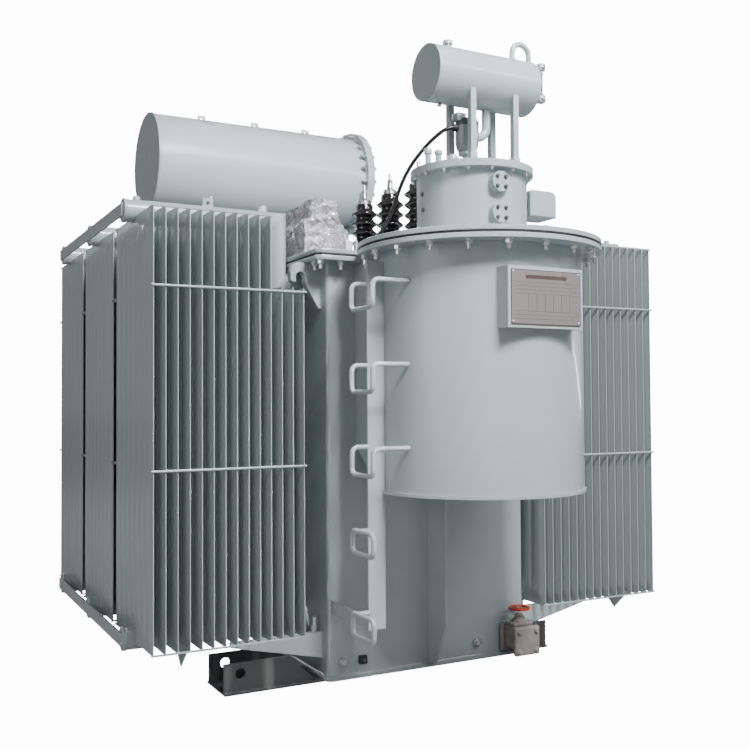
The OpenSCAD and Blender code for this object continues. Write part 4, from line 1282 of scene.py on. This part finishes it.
@dataclass
class Head:
    """Drum over the tap changer with its rim bolts, blank flanges and drive box."""

    rim_bolts: int = 16
    rim_phase: float = 8.3
    rim_inset: float = 0.0105
    flange_t: float = 0.010
    flange_out: float = 0.025
    neck_l: float = 0.026
    foot_out: float = 0.026
    foot_t: float = 0.012
    foot_bolts: int = 20
    foot_phase: float = 9.0
    foot_bolt_share: float = 0.6
    blank_bolt_r: float = 0.0260
    corner_r: float = 0.026
    plug_angles: tuple[float, ...] = (176.0, 178.0)
    plug_heights: tuple[float, ...] = (0.189, 0.128)
    vent_ring: float = 0.205
    vents: tuple[Pair, ...] = ((184.0, 0.86), (200.0, 0.62))
    cap_ring: float = 0.195
    cap_angle: float = 216.0
    seam_back: float = 0.011
    seam_proud: float = 0.0006
    seam_t: float = 0.0022
    plug_r: float = 0.009
    plug_h: float = 0.007
    plug_lap: float = 0.002
    wall_lap: float = 0.001

    def build(self) -> None:
        """Dresses the drum and builds what is bolted to it."""
        dress(TANK_ENAMEL, "head_drum", "head_cover", "head_blank_flanges")
        self.bolts()
        self.fittings()
        self.drive()

    def bolts(self) -> None:
        """Rim bolts, foot ring with its bolts, and the blank flanges' bolts."""
        low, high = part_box("head_cover")
        mid = (low + high) / 2.0
        radius = (high.x - low.x) / 2.0
        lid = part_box("cover_plate")[1].z
        under = low.z - self.flange_t
        wall = radius - self.flange_out
        rim = ring_points((mid.x, mid.y, 0.0), UP, radius - self.rim_inset, self.rim_bolts, self.rim_phase)
        foot = ring_points((mid.x, mid.y, lid + self.foot_t), UP, wall + self.foot_bolt_share * self.foot_out,
                           self.foot_bolts, self.foot_phase)
        piece = Piece("head_bolts", BRIGHT_ZINC, TANK_ENAMEL, DARK_STEEL)
        piece.stamp(M8_LOW.form(), bolted([(p.x, p.y, high.z) for p in rim], UP, 31.0))
        piece.stamp(M10_NUT.form(), bolted([(p.x, p.y, under) for p in rim], DOWN, 19.0))
        inner, outer = wall - self.wall_lap, wall + self.foot_out
        profile = [(inner, 0), (outer, 0), (outer, self.foot_t), (inner, self.foot_t)]
        piece.add(turned(profile, 96, closed=True), at((mid.x, mid.y, lid)), TANK_ENAMEL)
        piece.stamp(M8_HEAD.form(), bolted(foot, UP, 21.0))
        blank_low, blank_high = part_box("head_blank_flanges")
        blank_x = (blank_low.x + blank_high.x) / 2.0
        blank_r = (blank_high.x - blank_low.x) / 2.0
        for z in (blank_low.z + blank_r, blank_high.z - blank_r):
            seam = drum(blank_r + self.seam_proud, self.seam_t, 0.0, 40)
            piece.add(seam, at((blank_x, blank_low.y + self.seam_back, z), FORWARD), DARK_STEEL)
            spots = ring_points((blank_x, blank_low.y, z), FORWARD, self.blank_bolt_r, 4, 45.0)
            piece.stamp(M8_HEAD.form(), [at(p, FORWARD, 11.0) for p in spots], DARK_STEEL)
        for angle, rise in zip(self.plug_angles, self.plug_heights):
            way = Vector((math.cos(math.radians(angle)), math.sin(math.radians(angle)), 0.0))
            spot = Vector((mid.x, mid.y, lid + rise)) + way * (wall - self.plug_lap)
            piece.add(drum(self.plug_r, self.plug_h, 0.001, 6), at(spot, way), DARK_STEEL)
        piece.settle()

    def fittings(self) -> None:
        """Capped vents and a sealed plug near the left edge of the cover."""
        low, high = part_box("head_cover")
        mid = (low + high) / 2.0
        piece = Piece("head_fittings", TANK_ENAMEL)
        middle = (mid.x, mid.y, high.z)
        vent = [(0, 0), (0.016, 0), (0.016, 0.008), (0.011, 0.010), (0.011, 0.052), (0.015, 0.054),
                (0.015, 0.074), (0.011, 0.080), (0, 0.082)]
        for angle, share in self.vents:
            spot = ring_points(middle, UP, self.vent_ring, 1, angle)[0]
            piece.add(turned([(r, share * z) for r, z in vent], 20), at(spot))
        cap = [(0, 0), (0.022, 0), (0.022, 0.010), (0.018, 0.022), (0.008, 0.028), (0, 0.029)]
        piece.add(turned(cap, 24), at(ring_points(middle, UP, self.cap_ring, 1, self.cap_angle)[0]))
        piece.settle()

    def drive(self) -> None:
        """Plain gear box on the drum's flank, with a rounded shoulder."""
        low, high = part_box("head_drive_box")
        drum_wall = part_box("head_drum")[1].x - self.flange_out
        stub = drum_wall + self.neck_l
        mid = (low + high) / 2.0
        outline = eased([(stub, low.z, 0.004), (high.x, low.z, 0.004), (high.x, high.z, self.corner_r),
                         (stub, high.z, 0.012)])
        piece = Piece("drive_box", TANK_ENAMEL, DARK_STEEL)
        piece.add(cut_plate(outline, high.y - low.y, 0.004), upright((0.0, high.y, 0.0)))
        neck = [(0.042, 0.0), (0.042, 0.010), (0.036, 0.012), (0.036, 0.015), (0.046, 0.017), (0.046, 0.027),
                (0, 0.027), (0, -0.02), (0.042, -0.02)]
        piece.add(turned(neck, 32), at((drum_wall, mid.y, mid.z), RIGHT), DARK_STEEL)
        piece.settle(replaces=["head_drive_box"])


# Small conservator and gas relay


@dataclass
class SmallConservator:
    """Barrel over the head on four posts, with its fittings; each pair is a radius and a length."""

    post_half: float = 0.012
    foot: float = 0.0155
    foot_t: float = 0.040
    breather_r: float = 0.011
    breather_nut: Pair = (0.015, 0.012)
    cock_in: float = 0.06
    cock: Pair = (0.006, 0.018)
    cock_wing: Pair = (0.003, 0.012)
    gauge_plug: Pair = (0.0095, 0.006)
    gauge_nut: Pair = (0.0115, 0.012)
    tube_r: float = 0.008
    tube_lap: float = 0.005
    pot_lid: float = 0.032
    glass_r: float = 0.016
    gland_r: float = 0.0145
    gland_gap: float = 0.0002

    def build(self) -> None:
        """Dresses the barrel and builds its fittings."""
        dress(TANK_ENAMEL, "small_conservator", "small_conservator_posts", "relay_pipes", "breather_pipe")
        self.trim()
        self.gauge()
        self.relay()

    def trim(self) -> None:
        """Feet of the posts, the breather's nut and the drain cock."""
        low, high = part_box("small_conservator")
        y = (low.y + high.y) / 2.0
        top = low.z + (high.y - low.y)
        piece = Piece("small_conservator_trim", TANK_ENAMEL, BRASS)
        post_low, post_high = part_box("small_conservator_posts")
        half = self.post_half
        for px in (post_low.x + half, post_high.x - half):
            for py in (post_low.y + half, post_high.y - half):
                piece.add(slab((px - self.foot, py - self.foot, post_low.z),
                               (px + self.foot, py + self.foot, post_low.z + self.foot_t), 0.002, 2))
        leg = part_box("breather_pipe")[0].x + self.breather_r
        piece.add(drum(*self.breather_nut, 0.002, 6), at((leg, y, top - 0.003)))
        cock = Vector((low.x + self.cock_in, y, low.z))
        piece.add(drum(*self.cock, 0.001, 12), at(cock + Vector((0, 0, 0.003)), DOWN), BRASS)
        wing_r, reach = self.cock_wing
        wing, middle = Vector((reach, 0.0, 0.0)), cock - Vector((0, 0, reach))
        piece.add(bar([middle - wing, middle + wing], wing_r, sides=8), finish=BRASS)
        piece.settle()

    def gauge(self) -> None:
        """Oil level gauge: two fittings, a dark glass and its plugs."""
        low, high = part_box("level_gauge")
        block = high.x - low.x
        tube = low + Vector((block, block, block)) / 2.0
        piece = Piece("level_gauge_fittings", TANK_ENAMEL, GAUGE_GLASS, ZINC)
        piece.add(slab((low.x, low.y, low.z), (high.x, low.y + block, low.z + block), 0.005, 3))
        piece.add(slab((low.x, low.y, high.z - block), high, 0.005, 3))
        for z in (low.z, high.z - block):
            plug = (tube.x, low.y + 0.002, z + block / 2.0)
            piece.add(drum(*self.gauge_plug, 0.001, 6), at(plug, FORWARD), ZINC)
        span = high.z - low.z - 2.0 * block
        foot = (tube.x, tube.y, low.z + block - self.tube_lap)
        piece.add(drum(self.tube_r, span + 2.0 * self.tube_lap, 0.0, 20), at(foot), GAUGE_GLASS)
        for z in (low.z + block, high.z - block - self.gauge_nut[1]):
            piece.add(drum(*self.gauge_nut, 0.001, 6), at((tube.x, tube.y, z)), ZINC)
        piece.settle(replaces=["level_gauge"])

    def relay(self) -> None:
        """Gas relay: rounded pot with a dark lid, a sight glass, a terminal box and the cable's gland."""
        low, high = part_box("gas_relay")
        mid = (low + high) / 2.0
        radius, height = (high.x - low.x) / 2.0, high.z - low.z
        rim = height - self.pot_lid
        piece = Piece("gas_relay_pot", RELAY_ENAMEL, LID_ENAMEL, ZINC, GAUGE_GLASS, GASKET)
        pot = [(0, 0), (0.62 * radius, 0), (0.74 * radius, 0.004), (0.86 * radius, 0.014),
               (0.95 * radius, 0.028), (radius - 0.001, 0.046), (radius - 0.001, rim), (0, rim)]
        piece.add(turned(pot, 48), at((mid.x, mid.y, low.z)))
        lid = [(0, 0), (radius, 0), (radius, 0.011), (0.97 * radius, 0.018), (0.88 * radius, 0.025),
               (0.70 * radius, 0.030), (0.4 * radius, self.pot_lid), (0, self.pot_lid)]
        piece.add(turned(lid, 48), at((mid.x, mid.y, low.z + rim)), LID_ENAMEL)
        glass = (mid.x, low.y + 0.003, mid.z - 0.006)
        ring, depth = self.glass_r, 0.006
        bezel = [(0, 0), (ring, 0), (ring, depth), (ring - 0.004, depth), (ring - 0.004, 0.003), (0, 0.003)]
        piece.add(turned(bezel, 24), at(glass, FORWARD), ZINC)
        piece.add(drum(ring - 0.0045, 0.0042, 0.0, 24), at(glass, FORWARD), GAUGE_GLASS)
        exit_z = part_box("relay_cable")[1].z - RelayCable.radius
        bore = RelayCable.radius + self.gland_gap
        gland = [(bore, -0.004), (self.gland_r, -0.004), (self.gland_r, 0.010), (0.011, 0.018), (bore, 0.018)]
        piece.add(turned(gland, 16, closed=True), at((low.x, mid.y, exit_z), LEFT), GASKET)
        box = Vector((low.x + 0.010, mid.y, high.z - 0.012))
        piece.add(slab(box + Vector((-0.020, -0.020, -0.004)), box + Vector((0.022, 0.020, 0.028)), 0.005, 2))
        screw = box + Vector((-0.010, -0.019, 0.016))
        piece.add(drum(0.004, 0.003, 0.001, 12), at(screw, FORWARD), ZINC)
        piece.settle(replaces=["gas_relay"])


# Main conservator


@dataclass
class MainConservator:
    """Large barrel behind the cover with a bolted end."""

    bolts: int = 24
    bolt_inset: float = 0.017
    bead: float = 0.004
    barrel_r: float = 0.270
    plate_t: float = 0.020
    sump_x: float = 0.470
    sump_r: float = 0.058
    sump_flange: float = 0.078
    sump_drop: float = 0.108

    def build(self) -> None:
        """Dresses the barrel and bolts its end cover."""
        dress(TANK_ENAMEL, "main_conservator", "main_end_plate", "main_end_cover", "main_supports",
              "main_oil_pipe")
        low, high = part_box("main_end_cover")
        barrel_low, barrel_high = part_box("main_conservator")
        mid = (low + high) / 2.0
        radius = (high.y - low.y) / 2.0
        back = barrel_high.x - self.plate_t
        spots = ring_points((0.0, mid.y, mid.z), RIGHT, radius - self.bolt_inset, self.bolts, 7.5)
        piece = Piece("conservator_bolts", ZINC)
        piece.stamp(M16_HEAD.form(), bolted([(high.x, p.y, p.z) for p in spots], RIGHT, 13.0))
        piece.stamp(M16_NUT.form(), bolted([(back, p.y, p.z) for p in spots], LEFT, 29.0))
        piece.settle()
        seams = Piece("conservator_seams", TANK_ENAMEL)
        for x in (barrel_low.x, back):
            seams.add(hoop(self.barrel_r, self.bead, 8, 96), at((x, mid.y, mid.z), RIGHT))
        seams.settle()
        self.sump(Vector((self.sump_x, mid.y, barrel_low.z - self.sump_drop)))

    def sump(self, foot: Vector) -> None:
        """Short drain stub with a blank flange under the barrel's bolted end.

        Args:
            foot: Middle of its lower face.
        """
        pipe, flange, depth = self.sump_r, self.sump_flange, self.sump_drop + 0.02
        profile = [(0, 0), (flange - 0.001, 0), (flange, 0.001), (flange, 0.012), (flange - 0.001, 0.013),
                   (flange - 0.001, 0.014), (flange, 0.015), (flange, 0.026), (pipe + 0.004, 0.027),
                   (pipe, 0.032), (pipe, depth), (0, depth)]
        piece = Piece("conservator_sump", TANK_ENAMEL, ZINC)
        piece.add(turned(profile, 40), at(foot))
        spots = ring_points(foot, DOWN, (pipe + flange) / 2.0, 6)
        piece.stamp(M8_HEAD.form(), [at(spot, DOWN, 17.0) for spot in spots], ZINC)
        piece.settle()


# Bushings


@dataclass
class Bushings:
    """Brown high-voltage bushings in a row, each with a clamp ring, sheds and a terminal."""

    core_r: float = 0.045
    shed_r: float = 0.067
    sheds: int = 7
    ring_bolts: int = 6
    ring_bolt_r: float = 0.067
    nut_z: float = 0.062
    cap_r: float = 0.033
    rod_r: float = 0.0145
    stud_r: float = 0.008

    def build(self) -> None:
        """Builds the porcelains and terminals and dresses the rings."""
        dress(ZINC, "hv_clamp_rings")
        low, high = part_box("hv_porcelain")
        ring_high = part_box("hv_clamp_rings")[1]
        tip_low, tip_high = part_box("hv_terminals")
        x = (low.x + high.x) / 2.0
        ends = (low.y + self.shed_r, high.y - self.shed_r)
        rows = (ends[0], sum(ends) / 2.0, ends[1])
        porcelain = Piece("bushing_porcelains", PORCELAIN)
        metal = Piece("bushing_terminals", ZINC)
        for y in rows:
            porcelain.add(turned(self.profile(high.z - low.z), 48), at((x, y, low.z)))
            metal.add(turned(self.terminal(tip_high.z - tip_low.z), 24), at((x, y, tip_low.z)))
            metal.add(drum(0.015, 0.012, 0.001, 6), at((x, y, tip_low.z + self.nut_z)))
            spots = ring_points((x, y, ring_high.z), UP, self.ring_bolt_r, self.ring_bolts, 20.0)
            metal.stamp(M12_HEAD.form(), [at(p, UP, 14.0) for p in spots])
        porcelain.settle(replaces=["hv_porcelain"])
        metal.settle(replaces=["hv_terminals"])

    def profile(self, height: float) -> list[Pair]:
        """Section of one porcelain.

        Args:
            height: Height of the porcelain.

        Returns:
            Radius and height of each point.
        """
        step = height / (self.sheds + 0.5)
        core, shed = self.core_r, self.shed_r
        points = [(0.0, 0.0), (core + 0.006, 0.0), (core + 0.006, 0.04 * step)]
        lens = ((core, 0.09), (core + 0.004, 0.16), (shed - 0.010, 0.30), (shed - 0.003, 0.37), (shed, 0.45),
                (shed, 0.53), (shed - 0.003, 0.62), (shed - 0.010, 0.70), (core + 0.004, 0.86), (core, 0.95))
        for index in range(self.sheds):
            points += [(radius, (index + rise) * step) for radius, rise in lens]
        return points + [(core, height - 0.10 * step), (core - 0.003, height), (0.0, height)]

    def terminal(self, height: float) -> list[Pair]:
        """Section of one cap and stud.

        Args:
            height: Height over both.

        Returns:
            Radius and height of each point.
        """
        cap, rod, stud = self.cap_r, self.rod_r, self.stud_r
        return [(0, 0), (cap, 0), (cap, 0.020), (cap - 0.004, 0.025), (rod + 0.003, 0.028), (rod, 0.032),
                (rod, 0.060), (stud, self.nut_z), (stud, height - 0.003), (stud - 0.002, height), (0, height)]


@dataclass
class WrappedRow:
    """Low-voltage bushings and links, wrapped in packing film; the weights are those of its folds."""

    low_half: float = 0.090
    top_half: float = 0.059
    shoulder: float = 0.137
    neck: float = 0.173
    around: int = 96
    along: int = 150
    cap_rows: int = 12
    crumple: float = 0.016
    slope: float = 0.048
    lift: float = 0.002
    hem: float = 0.03
    fold_scale: float = 17.0
    fine_scale: float = 52.0
    sag_scale: float = 7.0
    weights: tuple[float, float, float, float] = (0.9, 0.5, 0.7, 0.35)
    inner: int = 4
    link_low: Point = (-0.008, -0.034, 0.138)
    link_high: Point = (0.008, 0.034, 0.226)
    knob: Point = (0.115, -0.045, 0.0)
    margin: float = 0.012
    stub_r: float = 0.012
    box_side: float = 0.030

    def build(self) -> None:
        """Builds the bushings inside and the film over them."""
        low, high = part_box("lv_wrapped_row")
        self.bushings(low, high)
        self.film(low, high)
        self.fittings()

    def bushings(self, low: Vector, high: Vector) -> None:
        """Short bushings with flat links under the film.

        Args:
            low: Lowest corner of the row.
            high: Highest corner of the row.
        """
        x = (low.x + high.x) / 2.0
        piece = Piece("lv_bushings", PORCELAIN, CREAM_PORCELAIN, BRASS)
        pitch = (high.y - low.y) / self.inner
        section = [(0, 0), (0.062, 0), (0.062, 0.016), (0.040, 0.020), (0.038, 0.040), (0.058, 0.050),
                   (0.057, 0.056), (0.036, 0.068), (0.036, 0.084), (0.054, 0.094), (0.053, 0.100),
                   (0.032, 0.112), (0.030, 0.140), (0, 0.140)]
        for index in range(self.inner):
            y = low.y + (index + 0.5) * pitch
            piece.add(turned(section, 32), at((x, y, low.z)))
            foot = Vector((x, y, low.z))
            link = slab(foot + Vector(self.link_low), foot + Vector(self.link_high), 0.002, 1)
            piece.add(link, finish=BRASS)
        knob = [(0, 0), (0.018, 0), (0.019, 0.008), (0.015, 0.012), (0.019, 0.018), (0.016, 0.028),
                (0, 0.031)]
        piece.add(turned(knob, 20), at(low + Vector(self.knob)), CREAM_PORCELAIN)
        piece.settle()

    def section(self, share: float, height: float) -> Pair:
        """Point of the film's section.

        Args:
            share: Way round the section, from 0 at the left foot to 1 at the right foot.
            height: Height of the row.

        Returns:
            X from the middle, and Z from the cover.
        """
        half = [(self.low_half, 0.0), (self.low_half, self.shoulder), (self.top_half, self.neck),
                (self.top_half, height), (0.0, height)]
        lengths = [math.dist(a, b) for a, b in zip(half, half[1:])]
        side = -1.0 if share < 0.5 else 1.0
        way = (2.0 * share if share < 0.5 else 2.0 - 2.0 * share) * sum(lengths)
        for (start, end), length in zip(zip(half, half[1:]), lengths):
            if way <= length:
                t = way / length
                return side * (start[0] + (end[0] - start[0]) * t), start[1] + (end[1] - start[1]) * t
            way -= length
        return 0.0, height

    def film(self, low: Vector, high: Vector) -> None:
        """One sheet laid over the row, tucked in at both ends and crumpled all over.

        Args:
            low: Lowest corner of the row.
            high: Highest corner of the row.
        """
        x, height = (low.x + high.x) / 2.0, high.z - low.z - self.margin
        form = bmesh.new()
        rows = self.along + 2 * self.cap_rows
        bmesh.ops.create_grid(form, x_segments=self.around, y_segments=rows, size=0.5)
        for vert in form.verts:
            share, row = vert.co.x + 0.5, round((vert.co.y + 0.5) * rows)
            tuck = max(self.cap_rows - row, row - self.cap_rows - self.along, 0) / self.cap_rows
            t = min(max((row - self.cap_rows) / self.along, 0.0), 1.0)
            across, up = self.section(share, height)
            y = low.y + self.margin + t * (high.y - low.y - 2 * self.margin)
            vert.co = (x + across * (1.0 - tuck), y, low.z + self.lift + up)
        bmesh.ops.recalc_face_normals(form, faces=form.faces)
        form.normal_update()
        moves = {}
        broad, small, soft, sink = self.weights
        for vert in form.verts:
            fold = noise.voronoi(vert.co * self.fold_scale)[0]
            fine = noise.voronoi(vert.co * self.fine_scale)[0]
            sag = noise.noise(vert.co * self.sag_scale)
            depth = broad * (fold[1] - fold[0]) + small * (fine[1] - fine[0]) + soft * sag - sink
            moves[vert] = vert.normal * (self.crumple * depth)
        for vert, move in moves.items():
            free = min(1.0, (vert.co.z - low.z) / self.hem)
            vert.co += move * free
            vert.co.z = max(vert.co.z, low.z + self.lift)
        piece = Piece("packing_film_wrap", FILM)
        piece.add(form)
        wrap = piece.settle(replaces=["lv_wrapped_row"])

    def fittings(self) -> None:
        """Terminal box of the cable and the capped stub in front of it."""
        low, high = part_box("lid_fittings")
        piece = Piece("cover_terminal_box", WHITE_ENAMEL, RELAY_ENAMEL)
        stub_x, stub_y = high.x - self.stub_r, low.y + self.stub_r
        side = self.box_side
        piece.add(slab((low.x, high.y - side, low.z), (low.x + side, high.y, high.z), 0.004, 2))
        wide = self.stub_r
        stub = [(0, 0), (wide, 0), (wide, 0.006), (0.0105, 0.008), (0.0065, 0.040), (0.004, 0.044),
                (0, 0.044)]
        piece.add(turned(stub, 20), at((stub_x, stub_y, low.z)), RELAY_ENAMEL)
        piece.settle(replaces=["lid_fittings"])


# Radiators


@dataclass
class RadiatorBanks:
    """Pressed-steel radiators: fluted fins between headers, on both sides of the tank."""

    pitch: float = 0.045
    width: float = 0.570
    foot_z: float = 0.194
    top_z: float = 1.811
    short_top_z: float = 1.5355
    short_fins: int = 3
    flutes: int = 7
    flute_depth: float = 0.0042
    seam_half: float = 0.0016
    margin: float = 0.014
    roof: float = 0.30
    roof_foot: float = 0.010
    roof_blend: float = 0.016
    header_r: float = 0.0445
    header_top: float = 1.834
    header_low: float = 0.205
    branch_z: float = 1.585
    elbow_out: float = 0.120
    header_out: float = 0.047
    brace_r: float = 0.005
    braces: tuple[float, float] = (0.851, 1.520)
    strip: float = 0.008
    strip_in: float = 0.002
    strip_out: float = 0.003
    cap_t: float = 0.014
    cap_out: float = 0.0025
    vent_r: float = 0.0145
    vent_in: float = 0.055
    vent_sunk: float = 0.003
    lug: float = 0.044
    lug_t: float = 0.009
    lug_hole: float = 0.008
    prop_w: float = 0.165
    prop_drop: float = 0.078
    prop_t: float = 0.006
    prop_inset: float = 0.035
    prop_lap: float = 0.009
    prop_fin: int = 4
    fins: tuple[int, int] = (14, 15)
    gaps: tuple[float, float] = (0.116, 0.094)
    valve_bolt_r: float = 0.0535
    fin_half: float = 0.009

    def build(self) -> None:
        """Builds the six radiators and dresses their valves and tie bars."""
        dress(FIN_ENAMEL_SHADED, "radiator_valves", "radiator_tie_bars")
        tall = self.fin(self.top_z - self.foot_z)
        short = self.fin(self.short_top_z - self.foot_z)
        for side in Side:
            for row in Row:
                self.radiator(side, row, tall, short)
        self.bolts()

    def fin(self, height: float) -> bpy.types.Mesh:
        """One fin as two fluted sheets joined at their seam.

        Args:
            height: Height of the fin.

        Returns:
            The fin's mesh, from z 0, with its middle at x 0 and y 0.
        """
        half = self.width / 2.0
        span = (self.width - 2.0 * self.margin) / self.flutes
        crest = ((0.0, 0.0), (0.16, 0.80), (0.36, 1.0), (0.64, 1.0), (0.84, 0.80))
        columns = [(-half, None), (-half, 0.0), (-half + self.margin, 0.0)]
        for index in range(self.flutes):
            columns += [(-half + self.margin + (index + share) * span, rise) for share, rise in crest
                        if index or share]
        columns += [(half - self.margin, 0.0), (half, 0.0), (half, None)]
        steps = [None, 0.0, 0.012, 0.026, 0.042, 0.058, 0.074, 0.090, 0.106, 0.126]
        rows = steps + [None if step is None else -step for step in reversed(steps)]
        inside = steps[1:]
        levels = [0.0, *inside, *[height - step for step in reversed(inside)], height]
        form = bmesh.new()
        bmesh.ops.create_grid(form, x_segments=len(columns) - 1, y_segments=len(rows) - 1, size=0.5)
        for vert in form.verts:
            column = round((vert.co.x + 0.5) * (len(columns) - 1))
            line = round((vert.co.y + 0.5) * (len(rows) - 1))
            y, rise = columns[column]
            z = levels[line]
            if rise is None or rows[line] is None:
                vert.co = (0.0, y, z)
                continue
            inward = half - abs(y)
            end = min(z, height - z) - self.roof_foot - self.roof * inward
            share = min(max(end / self.roof_blend, 0.0), 1.0)
            vert.co = (self.seam_half + self.flute_depth * rise * share, y, z)
        bmesh.ops.mirror(form, geom=form.verts[:] + form.edges[:] + form.faces[:], matrix=Matrix(),
                         merge_dist=1e-5, axis="X")
        bmesh.ops.remove_doubles(form, verts=form.verts, dist=MERGE)
        bmesh.ops.recalc_face_normals(form, faces=form.faces)
        for face in form.faces:
            face.smooth = True
        mesh = bpy.data.meshes.new("fin_form")
        form.to_mesh(mesh)
        form.free()
        return mesh

    def radiator(self, side: Side, row: Row, tall: bpy.types.Mesh, short: bpy.types.Mesh) -> None:
        """One radiator.

        Args:
            side: Side of the tank.
            row: Place along the bank.
            tall: The full fin.
            short: The fin under the elbow.
        """
        name = f"radiator_{side.name.lower()}_{row.name.lower()}"
        low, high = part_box(name)
        y = (low.y + high.y) / 2.0
        sign = side.value
        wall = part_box("tank")[1].x
        index = list(Side).index(side)
        fins = self.fins[index]
        first = wall + self.gaps[index]
        last = first + (fins - 1) * self.pitch
        end = last + self.header_out
        inner = sign * min(abs(low.x), abs(high.x))
        piece = Piece(name + "_fins", FIN_ENAMEL_SHADED)
        spots = [Matrix.Translation((sign * (first + i * self.pitch), y, self.foot_z)) for i in range(fins)]
        piece.stamp(short, spots[:self.short_fins])
        piece.stamp(tall, spots[self.short_fins:])
        elbow = sign * (wall + self.elbow_out)
        blind = sign * (end - self.cap_t / 2.0)
        upper = [Vector((blind, y, self.header_top)), Vector((elbow, y, self.header_top)),
                 Vector((elbow, y, self.branch_z)), Vector((inner, y, self.branch_z))]
        lower = [Vector((blind, y, self.header_low)), Vector((inner, y, self.header_low))]
        for path in (upper, lower):
            piece.add(bar(path, self.header_r, sides=28))
        half = self.width / 2.0
        outer = sign * (last + self.fin_half)
        start = sign * (first - self.fin_half)
        tall_start = sign * (first + self.short_fins * self.pitch - self.fin_half)
        for edge in (-half, half):
            out = math.copysign(1.0, edge)
            for z in self.braces:
                at_y = y + edge + out * self.brace_r / 2.0
                piece.add(bar([Vector((start, at_y, z)), Vector((outer, at_y, z))], self.brace_r, sides=10))
            for z, begin in ((self.foot_z, start), (self.top_z - self.strip, tall_start)):
                xs = sorted((begin, outer))
                ys = sorted((y + edge - out * self.strip_in, y + edge + out * self.strip_out))
                piece.add(slab((xs[0], ys[0], z), (xs[1], ys[1], z + self.strip), 0.001, 1))
        for z in (self.header_top, self.header_low):
            cap = drum(self.header_r + self.cap_out, self.cap_t, 0.004, 40)
            piece.add(cap, at((sign * (end - self.cap_t), y, z), (sign, 0, 0)))
        vent = [(0, 0), (self.vent_r, 0), (self.vent_r, 0.010), (0.8 * self.vent_r, 0.017), (0, 0.020)]
        crown = self.header_top + self.header_r - self.vent_sunk
        piece.add(turned(vent, 20), at((sign * (end - self.vent_in), y, crown)))
        self.add_lug(piece, sign * (first + last) / 2.0, y)
        self.add_prop(piece, sign * (first + (fins - self.prop_fin) * self.pitch), y)
        piece.settle(replaces=[name])

    def add_lug(self, piece: Piece, x: float, y: float) -> None:
        """Lifting lug on the upper header.

        Args:
            piece: The radiator.
            x: Middle of the lug.
            y: Middle of the header.
        """
        foot = self.header_top + self.header_r - self.lug_t
        middle = foot + self.lug / 2.0
        form = bmesh.new()
        hole = bmesh.ops.create_circle(form, cap_ends=False, radius=self.lug_hole, segments=24)["verts"]
        rim = bmesh.ops.create_circle(form, cap_ends=False, radius=self.lug / 2.0, segments=24)["verts"]
        for vert in rim:
            vert.co *= self.lug / 2.0 / max(abs(vert.co.x), abs(vert.co.y))
        loops = list({edge for vert in hole + rim for edge in vert.link_edges})
        bmesh.ops.bridge_loops(form, edges=loops)
        grown = bmesh.ops.extrude_face_region(form, geom=form.faces[:], use_keep_orig=True)
        bmesh.ops.translate(form, vec=(0, 0, self.lug_t), verts=new_verts(grown))
        bmesh.ops.recalc_face_normals(form, faces=form.faces)
        piece.add(form, upright((x, y + self.lug_t / 2.0, middle)))

    def add_prop(self, piece: Piece, x: float, y: float) -> None:
        """Pointed foot under one of the outer fins.

        Args:
            piece: The radiator.
            x: Middle of the fin.
            y: Middle of the fin.
        """
        left = self.prop_inset - self.width / 2.0
        mid, right = left + self.prop_w / 2.0, left + self.prop_w
        lap = self.prop_lap
        outline = [(left, lap), (left, 0.0), (mid, -self.prop_drop), (right, 0.0), (right, lap)]
        stand = Matrix(((0, 0, 1, x - self.prop_t / 2.0), (1, 0, 0, y), (0, 1, 0, self.foot_z), (0, 0, 0, 1)))
        piece.add(cut_plate(outline, self.prop_t, 0.001), stand)

    def bolts(self) -> None:
        """Bolts of the radiator valves' flanges."""
        piece = Piece("radiator_bolts", ZINC)
        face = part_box("radiator_valves")[1].x
        for row in Row:
            low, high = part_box(f"radiator_left_{row.name.lower()}")
            y = (low.y + high.y) / 2.0
            for z in (self.header_low, self.branch_z):
                for sign in (-1, 1):
                    spots = ring_points((sign * face, y, z), (sign, 0, 0), self.valve_bolt_r, 8, 22.5)
                    piece.stamp(M8_HEAD.form(), [at(p, (sign, 0, 0), 7.0) for p in spots])
        piece.settle()


def main() -> None:
    """Builds the studio and every sub-assembly."""
    logging.basicConfig(level=logging.INFO, format="%(name)s %(message)s")
    Studio().build()
    for work in (RelayCable(), TankWork(), Nameplate(), DrainValve(), Head(), SmallConservator(),
                 MainConservator(), Bushings(), WrappedRow(), RadiatorBanks()):
        work.build()
        LOG.info("%s done", type(work).__name__)


if __name__ == "__main__":
    main()
